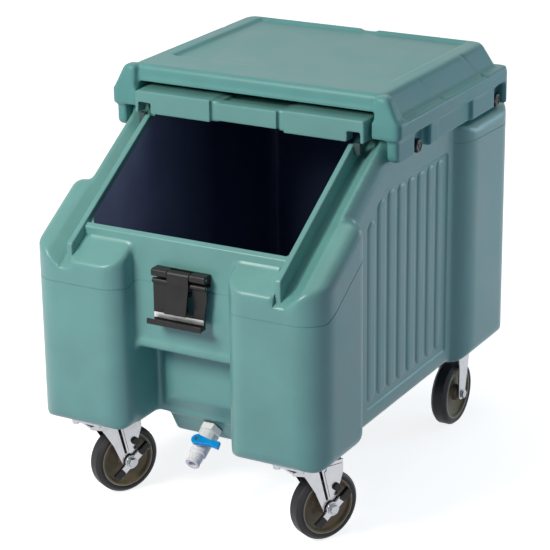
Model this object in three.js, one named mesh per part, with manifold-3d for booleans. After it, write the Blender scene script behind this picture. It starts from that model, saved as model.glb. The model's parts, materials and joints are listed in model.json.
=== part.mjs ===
// Mobile ice bin: a foam filled, moulded bin on four casters. It has a sloped mouth between two rails,
// a sliding lid that parks under a bolted top cover, a draw latch and a drain valve.
// Sizes are in millimetres. X runs to the right, Y to the back and Z up. The origin is on the floor,
// under the middle of the bin.

import * as THREE from 'three';
import { ConvexGeometry } from 'three/addons/geometries/ConvexGeometry.js';
import { mergeVertices } from 'three/addons/utils/BufferGeometryUtils.js';
import Module from 'manifold-3d';

const wasm = await Module();
wasm.setup();

// Shared clearances and counts
const seatGap = 0.3;
const runningGap = 0.4;
const overrun = 4;
const weldTolerance = 1e-4;
const arcSteps = 3;
const bevelSteps = 2;
const hexSides = 6;
const fastenerSides = 6;
const pinSides = 12;
const roundSides = 16;
const wheelSides = 24;

// Body: overall size and the four corner columns
const bodyHalfLength = 394;
const columnHalfWidth = 287;
const columnInnerHalf = 100;
const columnOuterRadius = 55;
const columnInnerRadius = 40;
const columnEdgeRadius = 22;
const columnSideSpare = 1.5;
const frontColumnDepth = 172;
const frontColumnStepRadius = 12;
const recessDepth = 52;
const rearColumnDepth = 166;
const rearColumnBlend = 62;
const rearColumnInnerHalf = 130;
const rearRecessDepth = 22;
const panelInset = 25;
const panelHalfWidth = columnHalfWidth - panelInset;
const panelRise = 5;
const panelEdgeBevel = 6;
const rimTop = 668;
const rearColumnDrop = 46;
const rearColumnTop = rimTop - rearColumnDrop;
const rimRearInset = 54;

// Body: walls, foam and underside
const shellWall = 6;
const baseThickness = 20;
const fillHoleRadius = 15;
const fillHoleInset = 150;
const fillPlugThickness = 9;
const foamSideDepth = 13;

// Sloped mouth, its rails, coaming and decks, measured down from the line of the rail tops
const slopeDegrees = 32.1;
const browY = -122;
const browDrop = 8;
const browZ = rimTop - browDrop;
const mouthInset = 88;
const mouthHalfWidth = columnHalfWidth - mouthInset;
const railThickness = 11;
const railFrontSetback = 10;
const railRoot = 46;
const outerDeckDrop = 14;
const deckRoundWidth = 24;
const deckRoundFall = 34;
const deckRoundShares = [0.45, 0.22];
const innerDeckDrop = 22;
const gutterDrop = 38;
const gutterFloor = 12;
const gutterRamp = 28;
const coamingThickness = 12;
const coamingDrop = 6;

// Parking ledge for the sliding lid, on top of the body under the cover
const ledgeReach = 35;
const ledgeHalfWidth = mouthHalfWidth + ledgeReach;
const ledgeDrop = 13;
const ledgeTop = rimTop - ledgeDrop;
const ledgeRearY = 206;

// Ribbed side panels
const ribCount = 8;
const ribFieldFrontInset = 49;
const ribFieldRearInset = 16;
const ribFieldFrontY = frontColumnDepth + ribFieldFrontInset - bodyHalfLength;
const ribFieldRearY = bodyHalfLength - rearColumnDepth - rearColumnBlend - ribFieldRearInset;
const ribFrontMargin = 2.5;
const ribRearMargin = 6.1;
const ribFirstY = ribFieldFrontY + ribFrontMargin;
const ribPitch = (ribFieldRearY - ribRearMargin - ribFirstY) / ribCount;
const ribGap = 3.4;
const ribRise = 5.4;
const ribBottomZ = 205;
const ribFieldDrop = 88;
const ribFieldTopZ = rimTop - ribFieldDrop;
const ribTopMargin = 5;
const ribTopZ = ribFieldTopZ - ribTopMargin;
const ribFieldDepth = 6;
const ribFieldBottomZ = 194;
const ribFieldSlopeLength = 60;
const ribFieldBendY = ribFieldFrontY + ribFieldSlopeLength;
const ribFieldSlopeFall = 50;
const ribFieldFrontZ = ribFieldTopZ - ribFieldSlopeFall;
const ribRoundShare = 0.356;

// Ice tank
const tankRearInset = 80;
const tankRearY = bodyHalfLength - tankRearInset;
const tankCornerRadius = 34;
const tankFloorFrontZ = 186;
const tankFloorRearZ = 204;
const tankWaistZ = 430;
const tankWaistInset = 94;
const tankWaistY = tankWaistInset - bodyHalfLength;
const tankHeelZ = 268;
const tankHeelInset = 132;
const tankHeelY = tankHeelInset - bodyHalfLength;

// Drain sump below the recess between the front columns
const ledgeStripTopZ = 326;
const ledgeStripHeight = 14;
const ledgeStripReach = 5;
const sumpRecessInset = 116;
const sumpRecessBackY = sumpRecessInset - bodyHalfLength;
const sumpHalfWidth = 86;
const sumpCornerRadius = 26;
const sumpFrontInset = 98;
const sumpFrontY = sumpFrontInset - bodyHalfLength;
const sumpChamferTopZ = 207;
const sumpChamferDepth = 50;
const sumpChamferFootY = sumpFrontY + sumpChamferDepth;
const sumpBottomZ = 120;
const sumpFloorLength = 96;
const sumpRearY = sumpChamferFootY + sumpFloorLength;
const sumpToeLength = 66;
const sumpToeY = sumpRearY + sumpToeLength;
const sumpWall = 13;

// Top cover
const coverOverhang = 2;
const coverHalfWidth = columnHalfWidth + coverOverhang;
const coverFrontY = -111;
const coverRearInset = 42;
const coverRearY = bodyHalfLength - coverRearInset;
const coverFlangeRadius = 9;
const coverFlangeBevel = 7;
const coverFlangeRise = 30.5;
const coverFlangeTop = rimTop + coverFlangeRise;
const coverRoofRise = 44.5;
const coverTop = coverFlangeTop + coverRoofRise;
const coverShoulder = 10;
const coverBaseHalfWidth = coverHalfWidth - coverShoulder;
const coverBaseFrontY = -108;
const coverRearShoulder = 7;
const coverBaseRearY = coverRearY - coverRearShoulder;
const coverSideTaper = 27;
const coverTopHalfWidth = coverBaseHalfWidth - coverSideTaper;
const coverTopFrontY = -99;
const coverRearTaper = 12;
const coverTopRearY = coverBaseRearY - coverRearTaper;
const coverBaseRadius = 16;
const coverTopRadius = 22;
const coverSkin = 10;
const coverPanelSideBorder = 32;
const coverPanelHalfWidth = coverTopHalfWidth - coverPanelSideBorder;
const coverPanelFrontY = -12;
const coverPanelRearBorder = 11;
const coverPanelRearY = coverTopRearY - coverPanelRearBorder;
const coverPanelDepth = 4;
const coverNotchWidth = 34;
const coverNotchX = 13;
const lidReach = 31;
const lidHalfWidth = mouthHalfWidth + lidReach;
const coverPocketSpare = 8;
const coverPocketHalfWidth = lidHalfWidth + coverPocketSpare;
const coverPocketRearWall = 15;
const coverPocketRearY = coverTopRearY - coverPocketRearWall;
const coverMouthRise = 13.5;
const coverMouthTop = coverFlangeTop + coverMouthRise;
const coverMouthSpare = 6;
const coverMouthHalfWidth = lidHalfWidth + coverMouthSpare;
const postSpare = 4;
const postInnerHalf = coverMouthHalfWidth + postSpare;
const postLean = 2;
const postTopInnerHalf = postInnerHalf + postLean;
const postShoulder = 4;
const postTopOuterHalf = coverTopHalfWidth + postShoulder;
const postTopDrop = 3;
const postTopZ = coverTop - postTopDrop;
const postDepth = 30;
const skirtInset = 6;
const skirtHalfWidth = coverHalfWidth - skirtInset;
const skirtDrop = 42;
const skirtBottom = rimTop - skirtDrop;
const skirtFrontY = -105;
const skirtRearInset = 3;
const skirtRearY = coverRearY - skirtRearInset;
const skirtCornerReach = 12;
const skirtCornerRadius = 8;
const skirtWaistDepth = 6;
const skirtWaistFrontY = 62;
const skirtWaistRearY = 206;
const knobPocketWall = 4;
const knobFrontY = -12;
const knobRearInset = 28;
const knobYs = [knobFrontY, coverRearY - knobRearInset];
const knobPocketReaches = [[23, 40], [20, 17]];

// Thumbscrews that hold the cover
const knobRise = 11;
const knobZ = skirtBottom + knobRise;
const knobRadius = 13;
const knobThickness = 13;
const knobLobes = 6;
const knobLobeDepth = 2;
const knobShankRadius = 4;
const knobShankReach = 10;
const knobLift = 2;

// Sliding lid, in its parked place
const lidFrontY = -125;
const lidRearY = 193;
const lidPlateRise = 23;
const lidPlateTop = rimTop + lidPlateRise;
const lidPlateThickness = 10;
const lidCeiling = lidPlateTop - lidPlateThickness;
const lidFlangeDrop = 6;
const lidFlangeBottom = rimTop - lidFlangeDrop;
const lidOuterFlange = 8;
const lidInnerSpare = 2;
const lidInnerHalf = mouthHalfWidth - lidInnerSpare;
const lidInnerFlange = 10;
const lidFrontBarDepth = 25;
const lidBarRise = 11;
const lidBarTop = lidPlateTop + lidBarRise;
const lidBarBevel = 4;
const lidGripHalfWidth = 60;
const lidGripDrop = 3;
const lidGripTop = lidBarTop - lidGripDrop;
const lidGripLift = 5;
const lidGripBottom = lidFlangeBottom + lidGripLift;
const lidGrooveWidth = 14;
const lidGrooveDepth = 6;
const lidCoamingRelief = 90;
const lidScoopDepth = 34;
const lidScoopDrop = 5;
const lidPadDepth = 60;
const lidGuideWidth = 8;
const lidDropDegrees = 3.55;
const lidFootLength = 20;

// Lid pivot and glides at the brow of the rails
const pivotY = -118;
const pivotDrop = 5;
const pivotZ = ledgeTop - pivotDrop;
const glidePinRadius = 3;
const glidePinReach = 8;
const glideHalfLength = 6;
const glideBelow = 9;
const glideAbove = 12;

// Draw latch on the recess wall
const latchHalfWidth = 53;
const latchStrapHalfWidth = 18.5;
const latchWindowHalfWidth = 30;
const latchPlateThickness = 3;
const latchBracketBottomZ = 446;
const latchBracketTopZ = 469;
const latchBracketReach = 22;
const latchBlockInnerHalf = 22;
const latchBlockHeight = 14;
const latchUpperPinZ = 462;
const latchLowerPinZ = 447;
const latchPinInset = 15;
const latchPinRadius = 2;
const latchBarrelRadius = 5;
const latchStrapThickness = 4;
const latchStrapBottomZ = 396;
const latchHeadRadius = 8;
const latchBlockLowRound = 6;
const latchBlockTopRound = 3;
const latchHookThickness = 3;
const latchHookSetback = 0.5;
const latchWindowZ = 392;
const latchTroughZ = 372.5;
const latchLipReach = 16;
const latchLipHeight = 10;
const latchLipThickness = 3;
const latchLipOverhang = 4;
const latchStripThickness = 1.2;
const latchStripHeight = 10;
const latchScrewHead = 2;
const latchScrewZ = 453;
const latchScrewRadius = 3.2;
const latchScrewShank = 2;
const latchScrewGrip = 5;
const latchScrewX = 14;

// Drain fitting and valve, measured along the drain axis from the outside of the sump wall
const drainFromFoot = 29;
const drainBore = 7;
const drainTubeRadius = 11;
const drainTubeEnd = 24;
const drainFlangeRadius = 18;
const drainFlangeThickness = 4;
const drainGasketRadius = 18.5;
const drainGasketThickness = 2.5;
const drainNutAcrossFlats = 37;
const drainNutThickness = 13;
const valveCollarRadius = 17;
const valveCollarEnd = 34;
const valveBodyRadius = 15.5;
const valveBodyEnd = 62;
const valveNeckRadius = 12.5;
const valveTipRadius = 13.5;
const valveTipLength = 5;
const valveEnd = 84;
const valveBallRadius = 10;
const valveBallPlace = 48;
const valveBossRadius = 8;
const valveBossTop = 22;
const handleSocketDepth = 2.5;
const stemRadius = 3;
const handleThickness = 7;
const handleHubRadius = 10;
const handleLength = 55;
const handleWaist = 5;
const handleTipHalf = 5.5;
const handleRestDegrees = 5;
const handleScrewHead = 3.4;
const handleScrewShank = 1.6;
const handleScrewDepth = 2;
const handleScrewLength = 9;

// Casters
const wheelRadius = 63.5;
const wheelWidth = 32;
const casterHeight = 160;
const tyreThickness = 11.5;
const tyreShoulder = 6;
const rimWidth = 29;
const rimLip = 3.5;
const rimDish = 8;
const hubRadius = 15;
const hubHalfWidth = 17.5;
const bushRadius = 8;
const axleRadius = 4.5;
const axleHeadRadius = 8.5;
const axleHeadThickness = 6;
const forkGap = 20;
const forkThickness = 3;
const crownThickness = 4;
const forkFrontY = -24;
const forkRearY = 80;
const forkFootRadius = 12;
const forkFootRound = 11;
const swivelLegShares = [[0.885, 0.39], [1, 0.757], [1, 1], [0, 1], [0, 0.94], [0.23, 0.86], [0.44, 0.49]];
const rigidLegShares = [[1, 0.86], [1, 1], [0, 1], [0, 0.86]];
const plateThickness = 4;
const plateHalfX = 31;
const plateHalfY = 36;
const plateCornerRadius = 8;
const plateBoltX = 23;
const plateBoltY = 29;
const plateBoltRadius = 4;
const plateBoltHead = 6.5;
const plateBoltHeadThickness = 5;
const plateBoltGrip = 12;
const boltStripWidth = 5;
const boltStripThickness = 1;
const kingRingRadius = 19;
const kingRingHeight = 6;
const kingPinRadius = 5;
const kingHeadRadius = 9;
const kingHeadHeight = 5;
const casterTrail = 54;
const swivelDegrees = -27;
const frontCasterInset = 82.5;
const frontCasterX = columnHalfWidth - frontCasterInset;
const frontCasterShift = 8;
const frontCasterSetback = 56.5;
const frontCasterY = frontCasterSetback - bodyHalfLength;
const rearCasterInset = 61;
const rearCasterX = columnHalfWidth - rearCasterInset;
const rearCasterSetback = 124;
const rearCasterY = bodyHalfLength - rearCasterSetback;
const rearAxleLead = 11;
const rearForkHalf = 22;
const brakeLength = 92;
const brakeWidth = 17;
const brakeThickness = 4;
const brakeDegrees = 38;
const brakePadLength = 22;
const brakePadRise = 5;
const brakePadHalf = 9;
const brakeStripThickness = 2;
const brakeStripHalf = 6;
const brakeEndGrip = 3;
const brakeCornerRadius = 4;
const brakeWaistRadius = 14;
const capRadius = 7;
const capThickness = 6;
const capRise = 38;
const capShift = 10;

// Materials
const bodyPlastic = plain(0x6fa19e, 0.5, 0);
const coverPlastic = plain(0x6c9c99, 0.5, 0);
const foamFill = plain(0xe6d9a8, 0.9, 0);
const blackPlastic = plain(0x1d1d1f, 0.45, 0);
const knobPlastic = plain(0x1a1716, 0.5, 0);
const glidePlastic = plain(0xd8d8d0, 0.4, 0);
const chrome = plain(0xc9cacc, 0.2, 1);
const steel = plain(0xd5d6d8, 0.3, 1);
const whitePlastic = plain(0xf2f2f0, 0.4, 0);
const bluePlastic = plain(0x0a93e0, 0.4, 0);
const sealRubber = plain(0x2a2a2a, 0.8, 0);
const tyreRubber = plain(0x2b2b2c, 0.7, 0);
const rimPlastic = plain(0x5b5440, 0.55, 0);
const bushMetal = plain(0x9c9186, 0.4, 1);

function plain(color, roughness, metalness) {
  return new THREE.MeshStandardMaterial({ color, roughness, metalness });
}

// Places that several pieces share
const slopeRise = Math.tan(THREE.MathUtils.degToRad(slopeDegrees));
const slopeCos = Math.cos(THREE.MathUtils.degToRad(slopeDegrees));
const bodyUnderside = casterHeight + seatGap;
const bodyFrontY = -bodyHalfLength;
const recessWallY = bodyFrontY + recessDepth;
const railOuterHalf = mouthHalfWidth + railThickness;
const railEndY = bodyFrontY + railFrontSetback;
const bin = new THREE.Group();

// Height of the line of the rail tops at y, less a drop
function slopeZ(y, drop = 0) {
  return browZ + (y - browY) * slopeRise - drop;
}

// The y at which that line reaches a height
function slopeY(z, drop = 0) {
  return browY + (z + drop - browZ) / slopeRise;
}

// Solids: a closed geometry is joined and cut as a solid
function solid(shape) {
  if (!shape.isBufferGeometry) return shape;
  const bare = shape.clone();
  bare.deleteAttribute('normal');
  bare.deleteAttribute('uv');
  const merged = mergeVertices(bare, weldTolerance);
  const vertProperties = new Float32Array(merged.attributes.position.array);
  const triVerts = new Uint32Array(merged.index.array);
  return new wasm.Manifold(new wasm.Mesh({ numProp: 3, vertProperties, triVerts }));
}

function join(...shapes) {
  return shapes.map(solid).reduce((whole, next) => whole.add(next));
}

function cut(whole, ...tools) {
  return tools.map(solid).reduce((rest, tool) => rest.subtract(tool), solid(whole));
}

function common(first, second) {
  return solid(first).intersect(solid(second));
}

function geometryOf(shape) {
  const { vertProperties, triVerts } = solid(shape).getMesh();
  const geometry = new THREE.BufferGeometry();
  geometry.setAttribute('position', new THREE.BufferAttribute(vertProperties, 3));
  geometry.setIndex(new THREE.BufferAttribute(triVerts, 1));
  const faces = geometry.toNonIndexed();
  faces.computeVertexNormals();
  return faces;
}

function addMesh(parent, name, shape, material) {
  const mesh = new THREE.Mesh(geometryOf(shape), material);
  mesh.name = name;
  parent.add(mesh);
  return mesh;
}

// The same geometry mirrored to the other side of the middle plane
function mirrored(shape) {
  const copy = geometryOf(shape);
  copy.scale(-1, 1, 1);
  const flipped = copy.attributes.position.clone();
  for (let i = 0; i < flipped.count; i += 3) {
    const [x, y, z] = [flipped.getX(i), flipped.getY(i), flipped.getZ(i)];
    flipped.setXYZ(i, flipped.getX(i + 1), flipped.getY(i + 1), flipped.getZ(i + 1));
    flipped.setXYZ(i + 1, x, y, z);
  }
  copy.setAttribute('position', flipped);
  return copy;
}

function bothSides(shape) {
  return join(shape, mirrored(shape));
}

// An outline from corners [x, y, radius], each rounded by its own radius
function outline(corners, steps = arcSteps) {
  const points = [];
  corners.forEach(([x, y, radius = 0], i) => {
    const here = new THREE.Vector2(x, y);
    if (!radius) {
      points.push(here);
      return;
    }
    const [beforeX, beforeY] = corners[(i + corners.length - 1) % corners.length];
    const [afterX, afterY] = corners[(i + 1) % corners.length];
    const back = new THREE.Vector2(beforeX - x, beforeY - y).normalize();
    const ahead = new THREE.Vector2(afterX - x, afterY - y).normalize();
    const half = Math.acos(back.dot(ahead)) / 2;
    const middle = back.clone().add(ahead).normalize();
    const centre = here.clone().addScaledVector(middle, radius / Math.sin(half));
    const start = here.clone().addScaledVector(back, radius / Math.tan(half)).sub(centre);
    const sweep = (Math.PI - 2 * half) * Math.sign(ahead.cross(back));
    for (let k = 0; k <= steps; k += 1) {
      const spoke = start.clone().rotateAround(new THREE.Vector2(), (sweep * k) / steps);
      points.push(centre.clone().add(spoke));
    }
  });
  return new THREE.Shape(points);
}

// The corners of a simple outline moved inwards by a distance; corners run counterclockwise
function inset(corners, distance) {
  return corners.map(([x, y, radius = 0], i) => {
    const [beforeX, beforeY] = corners[(i + corners.length - 1) % corners.length];
    const [afterX, afterY] = corners[(i + 1) % corners.length];
    const first = new THREE.Vector2(beforeY - y, x - beforeX).normalize();
    const second = new THREE.Vector2(y - afterY, afterX - x).normalize();
    const reach = distance / (1 + first.dot(second));
    const kept = Math.max(radius - distance, 0);
    return [x + (first.x + second.x) * reach, y + (first.y + second.y) * reach, kept];
  });
}

// Prisms of an outline, with edges rounded at both ends
function prism(shape, length, bevel = 0) {
  const geometry = new THREE.ExtrudeGeometry(shape, {
    depth: length - 2 * bevel,
    steps: 1,
    bevelEnabled: bevel > 0,
    bevelThickness: bevel,
    bevelSize: bevel,
    bevelOffset: -bevel,
    bevelSegments: bevelSteps,
  });
  geometry.translate(0, 0, bevel);
  return geometry;
}

function alongZ(shape, lowZ, highZ, bevel = 0) {
  return prism(shape, highZ - lowZ, bevel).translate(0, 0, lowZ);
}

// The outline is drawn with y and z
function alongX(shape, leftX, rightX, bevel = 0) {
  const turn = new THREE.Matrix4().makeBasis(
    new THREE.Vector3(0, 1, 0),
    new THREE.Vector3(0, 0, 1),
    new THREE.Vector3(1, 0, 0),
  );
  return prism(shape, rightX - leftX, bevel).applyMatrix4(turn).translate(leftX, 0, 0);
}

// The outline is drawn with x and z, and the prism runs forwards from backY to frontY
function alongY(shape, frontY, backY, bevel = 0) {
  const turn = new THREE.Matrix4().makeBasis(
    new THREE.Vector3(1, 0, 0),
    new THREE.Vector3(0, 0, 1),
    new THREE.Vector3(0, -1, 0),
  );
  return prism(shape, backY - frontY, bevel).applyMatrix4(turn).translate(0, backY, 0);
}

function box(leftX, rightX, frontY, backY, lowZ, highZ) {
  const geometry = new THREE.BoxGeometry(rightX - leftX, backY - frontY, highZ - lowZ);
  const middle = [(leftX + rightX) / 2, (frontY + backY) / 2, (lowZ + highZ) / 2];
  return geometry.translate(...middle);
}

function rectangle(leftX, rightX, frontY, backY, radius = 0) {
  return [
    [leftX, frontY, radius],
    [rightX, frontY, radius],
    [rightX, backY, radius],
    [leftX, backY, radius],
  ];
}

// A turned solid about Z from [radius, z] points
function turned(profile, segments) {
  const points = profile.map(([radius, z]) => new THREE.Vector2(radius, z));
  return new THREE.LatheGeometry(points, segments).rotateX(Math.PI / 2);
}

function rod(radius, lowZ, highZ, segments) {
  return turned([[0, lowZ], [radius, lowZ], [radius, highZ], [0, highZ]], segments);
}

function ring(outer, inner, lowZ, highZ, segments) {
  return turned([[inner, lowZ], [outer, lowZ], [outer, highZ], [inner, highZ], [inner, lowZ]], segments);
}

// A rod along X at a place in the middle plane
function crossRod(radius, leftX, rightX, y, z, segments) {
  return rod(radius, leftX, rightX, segments).rotateY(Math.PI / 2).translate(0, y, z);
}

// Body shell

// Corners of the middle block's side outline, drawn with y and z
function coreCorners() {
  const low = bodyUnderside + panelRise;
  const rearY = bodyHalfLength - rearRecessDepth;
  const rimRearY = bodyHalfLength - rimRearInset;
  return [
    [recessWallY, low],
    [rearY, low],
    [rearY, rearColumnTop],
    [rimRearY, rearColumnTop],
    [rimRearY, rimTop],
    [slopeY(rimTop, outerDeckDrop), rimTop],
    [recessWallY, slopeZ(recessWallY, outerDeckDrop)],
  ];
}

function core() {
  const block = alongX(outline(coreCorners()), -panelHalfWidth, panelHalfWidth, panelEdgeBevel);
  return cut(block, bothSides(deckRounding()));
}

// Two wedges that round the deck's outer edge down to the right side panel
function deckRounding() {
  const [widthShare, fallShare] = deckRoundShares;
  const innerX = panelHalfWidth - deckRoundWidth;
  const middleX = panelHalfWidth - deckRoundWidth * widthShare;
  const middleDrop = outerDeckDrop + deckRoundFall * fallShare;
  const outerX = panelHalfWidth + overrun;
  const firstLean = (middleDrop - outerDeckDrop) / (middleX - innerX);
  const secondLean = (outerDeckDrop + deckRoundFall - middleDrop) / (panelHalfWidth - middleX);
  const wedges = [
    [innerX, outerDeckDrop, firstLean],
    [middleX, middleDrop, secondLean],
  ].map(([x, drop, lean]) => slopeCutter([
    [x, drop],
    [outerX, drop + (outerX - x) * lean],
    [outerX, -railRoot],
    [x, -railRoot],
  ], bodyFrontY, slopeY(rimTop, outerDeckDrop)));
  return join(...wedges);
}

// Right front column: its plan crossed with its side outline
function frontColumn(setIn, low, drop, bevel) {
  const rearY = bodyFrontY + frontColumnDepth;
  const plan = inset([
    [columnInnerHalf, bodyFrontY, columnInnerRadius],
    [columnHalfWidth, bodyFrontY, columnOuterRadius],
    [columnHalfWidth, rearY, frontColumnStepRadius],
    [columnInnerHalf, rearY],
  ], setIn);
  const round = columnEdgeRadius + columnSideSpare;
  const sideFrontY = bodyFrontY + setIn;
  const sideRearY = rearY - setIn;
  const side = [
    [sideFrontY, low, round],
    [sideRearY, low, round],
    [sideRearY, slopeZ(sideRearY, drop), round],
    [sideFrontY, slopeZ(sideFrontY, drop), round],
  ];
  const post = alongZ(outline(plan), low - overrun, rimTop);
  return common(post, alongX(outline(side), columnInnerHalf + setIn, columnHalfWidth - setIn, bevel));
}

// Right rear column, whose front face sweeps out from the side panel in a quarter of an ellipse
function rearColumn(setIn, low, high, bevel) {
  const fullY = bodyHalfLength - rearColumnDepth;
  const blendWidth = columnHalfWidth - panelHalfWidth + 2 * panelEdgeBevel;
  const corners = [[rearColumnInnerHalf, fullY - rearColumnBlend]];
  for (let k = 0; k <= 2 * arcSteps; k += 1) {
    const turn = (k / (2 * arcSteps) - 1) * (Math.PI / 2);
    const x = columnHalfWidth - blendWidth * (1 - Math.cos(turn));
    corners.push([x, fullY + rearColumnBlend * Math.sin(turn)]);
  }
  corners.push([columnHalfWidth, bodyHalfLength, columnOuterRadius]);
  corners.push([rearColumnInnerHalf, bodyHalfLength, columnEdgeRadius]);
  const round = columnEdgeRadius + columnSideSpare;
  const side = [
    [0, low],
    [bodyHalfLength - setIn, low, round],
    [bodyHalfLength - setIn, high, round],
    [0, high],
  ];
  const post = alongZ(outline(inset(corners, setIn)), low - overrun, high + overrun);
  return common(post, alongX(outline(side), rearColumnInnerHalf + setIn, columnHalfWidth - setIn, bevel));
}

// Corners of the drain sump's side outline, drawn with y and z
function sumpCorners() {
  return [
    [sumpChamferFootY, sumpBottomZ],
    [sumpRearY, sumpBottomZ],
    [sumpToeY, bodyUnderside + panelRise],
    [sumpToeY, ledgeStripTopZ],
    [sumpFrontY, ledgeStripTopZ],
    [sumpFrontY, sumpChamferTopZ],
  ];
}

function sump() {
  const side = alongX(outline(sumpCorners()), -sumpHalfWidth, sumpHalfWidth, panelEdgeBevel);
  const plan = rectangle(-sumpHalfWidth, sumpHalfWidth, sumpFrontY, 0, sumpCornerRadius);
  return common(side, alongZ(outline(plan), sumpBottomZ - overrun, ledgeStripTopZ + overrun));
}

function rail() {
  const rearY = slopeY(ledgeTop, gutterDrop);
  const side = [
    [railEndY, slopeZ(railEndY, railRoot)],
    [rearY, slopeZ(rearY, railRoot + railRoot)],
    [rearY, ledgeTop],
    [browY + railThickness, ledgeTop],
    [browY, browZ],
    [railEndY, slopeZ(railEndY)],
  ];
  return alongX(outline(side), mouthHalfWidth, railOuterHalf);
}

function coaming() {
  const backY = recessWallY + coamingThickness;
  const low = slopeZ(recessWallY, railRoot);
  const side = [
    [recessWallY, low],
    [backY, low],
    [backY, slopeZ(backY, coamingDrop)],
    [recessWallY, slopeZ(recessWallY, coamingDrop)],
  ];
  return alongX(outline(side), -mouthHalfWidth - overrun, mouthHalfWidth + overrun);
}

// A cutter above the slope, with its floor at the given drops for two places across
function slopeCutter(section, frontY, backY) {
  const points = [];
  for (const y of [frontY, backY]) {
    for (const [x, drop] of section) {
      points.push(new THREE.Vector3(x, y, slopeZ(y, drop)));
    }
  }
  return new ConvexGeometry(points);
}

// The gutter outside the right rail, which runs out at the front past the rail's end
function gutters() {
  const footX = railOuterHalf + gutterFloor;
  const crestX = footX + gutterRamp;
  const section = [
    [railOuterHalf, gutterDrop],
    [footX, gutterDrop],
    [crestX, outerDeckDrop],
    [crestX, -railRoot],
    [railOuterHalf, -railRoot],
  ];
  const mouthEnd = [
    [mouthHalfWidth, gutterDrop],
    [footX, gutterDrop],
    [footX, -railRoot],
    [mouthHalfWidth, -railRoot],
  ];
  const frontY = bodyFrontY - overrun;
  const long = slopeCutter(section, frontY, slopeY(ledgeTop, gutterDrop));
  return join(long, slopeCutter(mouthEnd, frontY, railEndY));
}

function frontDeckCutter() {
  const section = [
    [-mouthHalfWidth, innerDeckDrop],
    [mouthHalfWidth, innerDeckDrop],
    [mouthHalfWidth, -railRoot],
    [-mouthHalfWidth, -railRoot],
  ];
  return slopeCutter(section, bodyFrontY - overrun, recessWallY);
}

// The ice tank and its sump, grown by a wall for the foam around it
function tank(grow) {
  const wall = [
    [recessWallY + coamingThickness, rimTop + railRoot],
    [recessWallY + coamingThickness, slopeZ(recessWallY, railRoot)],
    [tankWaistY, tankWaistZ],
    [tankHeelY, tankHeelZ],
    [tankHeelY, tankFloorFrontZ],
    [tankRearY, tankFloorRearZ],
    [tankRearY, rimTop + railRoot],
  ];
  const half = mouthHalfWidth + grow;
  const plan = rectangle(-half, half, wall[0][0] - grow, tankRearY + grow, tankCornerRadius + grow);
  const side = alongX(outline(inset(wall, -grow)), -half, half);
  return common(side, alongZ(outline(plan), bodyUnderside, rimTop + railRoot));
}

function sumpHollow() {
  const half = sumpHalfWidth - sumpWall;
  return alongX(outline(inset(sumpCorners(), sumpWall)), -half, half);
}

// The foam that fills the double wall, drawn in by a gap where it is the core itself
function foamForm(gap) {
  const setIn = shellWall + gap;
  const low = bodyUnderside + baseThickness + gap;
  const drop = gutterDrop + shellWall / slopeCos + gap;
  const side = [
    [recessWallY + setIn, low],
    [bodyHalfLength - rearRecessDepth - setIn, low],
    [bodyHalfLength - rearRecessDepth - setIn, rearColumnTop - setIn],
    [bodyHalfLength - rimRearInset - setIn, rearColumnTop - setIn],
    [bodyHalfLength - rimRearInset - setIn, ledgeTop - setIn],
    [slopeY(ledgeTop - setIn, drop), ledgeTop - setIn],
    [recessWallY + setIn, slopeZ(recessWallY + setIn, drop)],
  ];
  const half = panelHalfWidth - foamSideDepth - gap;
  const middle = alongX(outline(side), -half, half);
  const front = frontColumn(setIn, low, drop, 0);
  const rear = rearColumn(setIn, low, rearColumnTop - setIn, 0);
  const sumpBay = box(
    -columnInnerHalf - setIn, columnInnerHalf + setIn, bodyFrontY, sumpToeY + setIn,
    0, ledgeStripTopZ + setIn,
  );
  return cut(join(middle, bothSides(front), bothSides(rear)), tank(setIn), sumpBay);
}

// Outline of the sunk field that holds the ribs, and the height of its top edge at y
function ribFieldTopAt(y, top) {
  if (y >= ribFieldBendY) return top;
  const fall = (ribFieldTopZ - ribFieldFrontZ) / (ribFieldBendY - ribFieldFrontY);
  return top - (ribFieldBendY - y) * fall;
}

function ribField() {
  const corners = [
    [ribFieldFrontY, ribFieldBottomZ],
    [ribFieldRearY, ribFieldBottomZ],
    [ribFieldRearY, ribFieldTopZ],
    [ribFieldBendY, ribFieldTopZ],
    [ribFieldFrontY, ribFieldFrontZ],
  ];
  const outerX = panelHalfWidth + overrun;
  return alongX(outline(corners), panelHalfWidth - ribFieldDepth, outerX);
}

function ribs() {
  const rootX = panelHalfWidth - 2 * ribFieldDepth;
  const crestX = panelHalfWidth - ribFieldDepth + ribRise;
  const round = ribPitch * ribRoundShare;
  const pieces = [];
  for (let k = 0; k < ribCount; k += 1) {
    const frontY = ribFirstY + k * ribPitch;
    const rearY = frontY + ribPitch - ribGap;
    const corners = [
      [frontY, ribBottomZ, round],
      [rearY, ribBottomZ, round],
      [rearY, ribFieldTopAt(rearY, ribTopZ)],
      [frontY, ribFieldTopAt(frontY, ribTopZ)],
    ];
    pieces.push(alongX(outline(corners), rootX, crestX, ribRise));
  }
  return join(...pieces);
}

// Places that fasteners take in the body
function casterPlaces() {
  return [
    [frontCasterShift - frontCasterX, frontCasterY],
    [frontCasterShift + frontCasterX, frontCasterY],
    [-rearCasterX, rearCasterY],
    [rearCasterX, rearCasterY],
  ];
}

function platePattern() {
  const places = [];
  for (const x of [-plateBoltX, plateBoltX]) {
    for (const y of [-plateBoltY, plateBoltY]) places.push([x, y]);
  }
  return places;
}

function boltHoles() {
  const high = bodyUnderside + plateBoltGrip + seatGap;
  const holes = [];
  for (const [x, y] of casterPlaces()) {
    for (const [boltX, boltY] of platePattern()) {
      const hole = rod(plateBoltRadius + seatGap, bodyUnderside - overrun, high, fastenerSides);
      holes.push(hole.translate(x + boltX, y + boltY, 0));
    }
  }
  return join(...holes);
}

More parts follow.
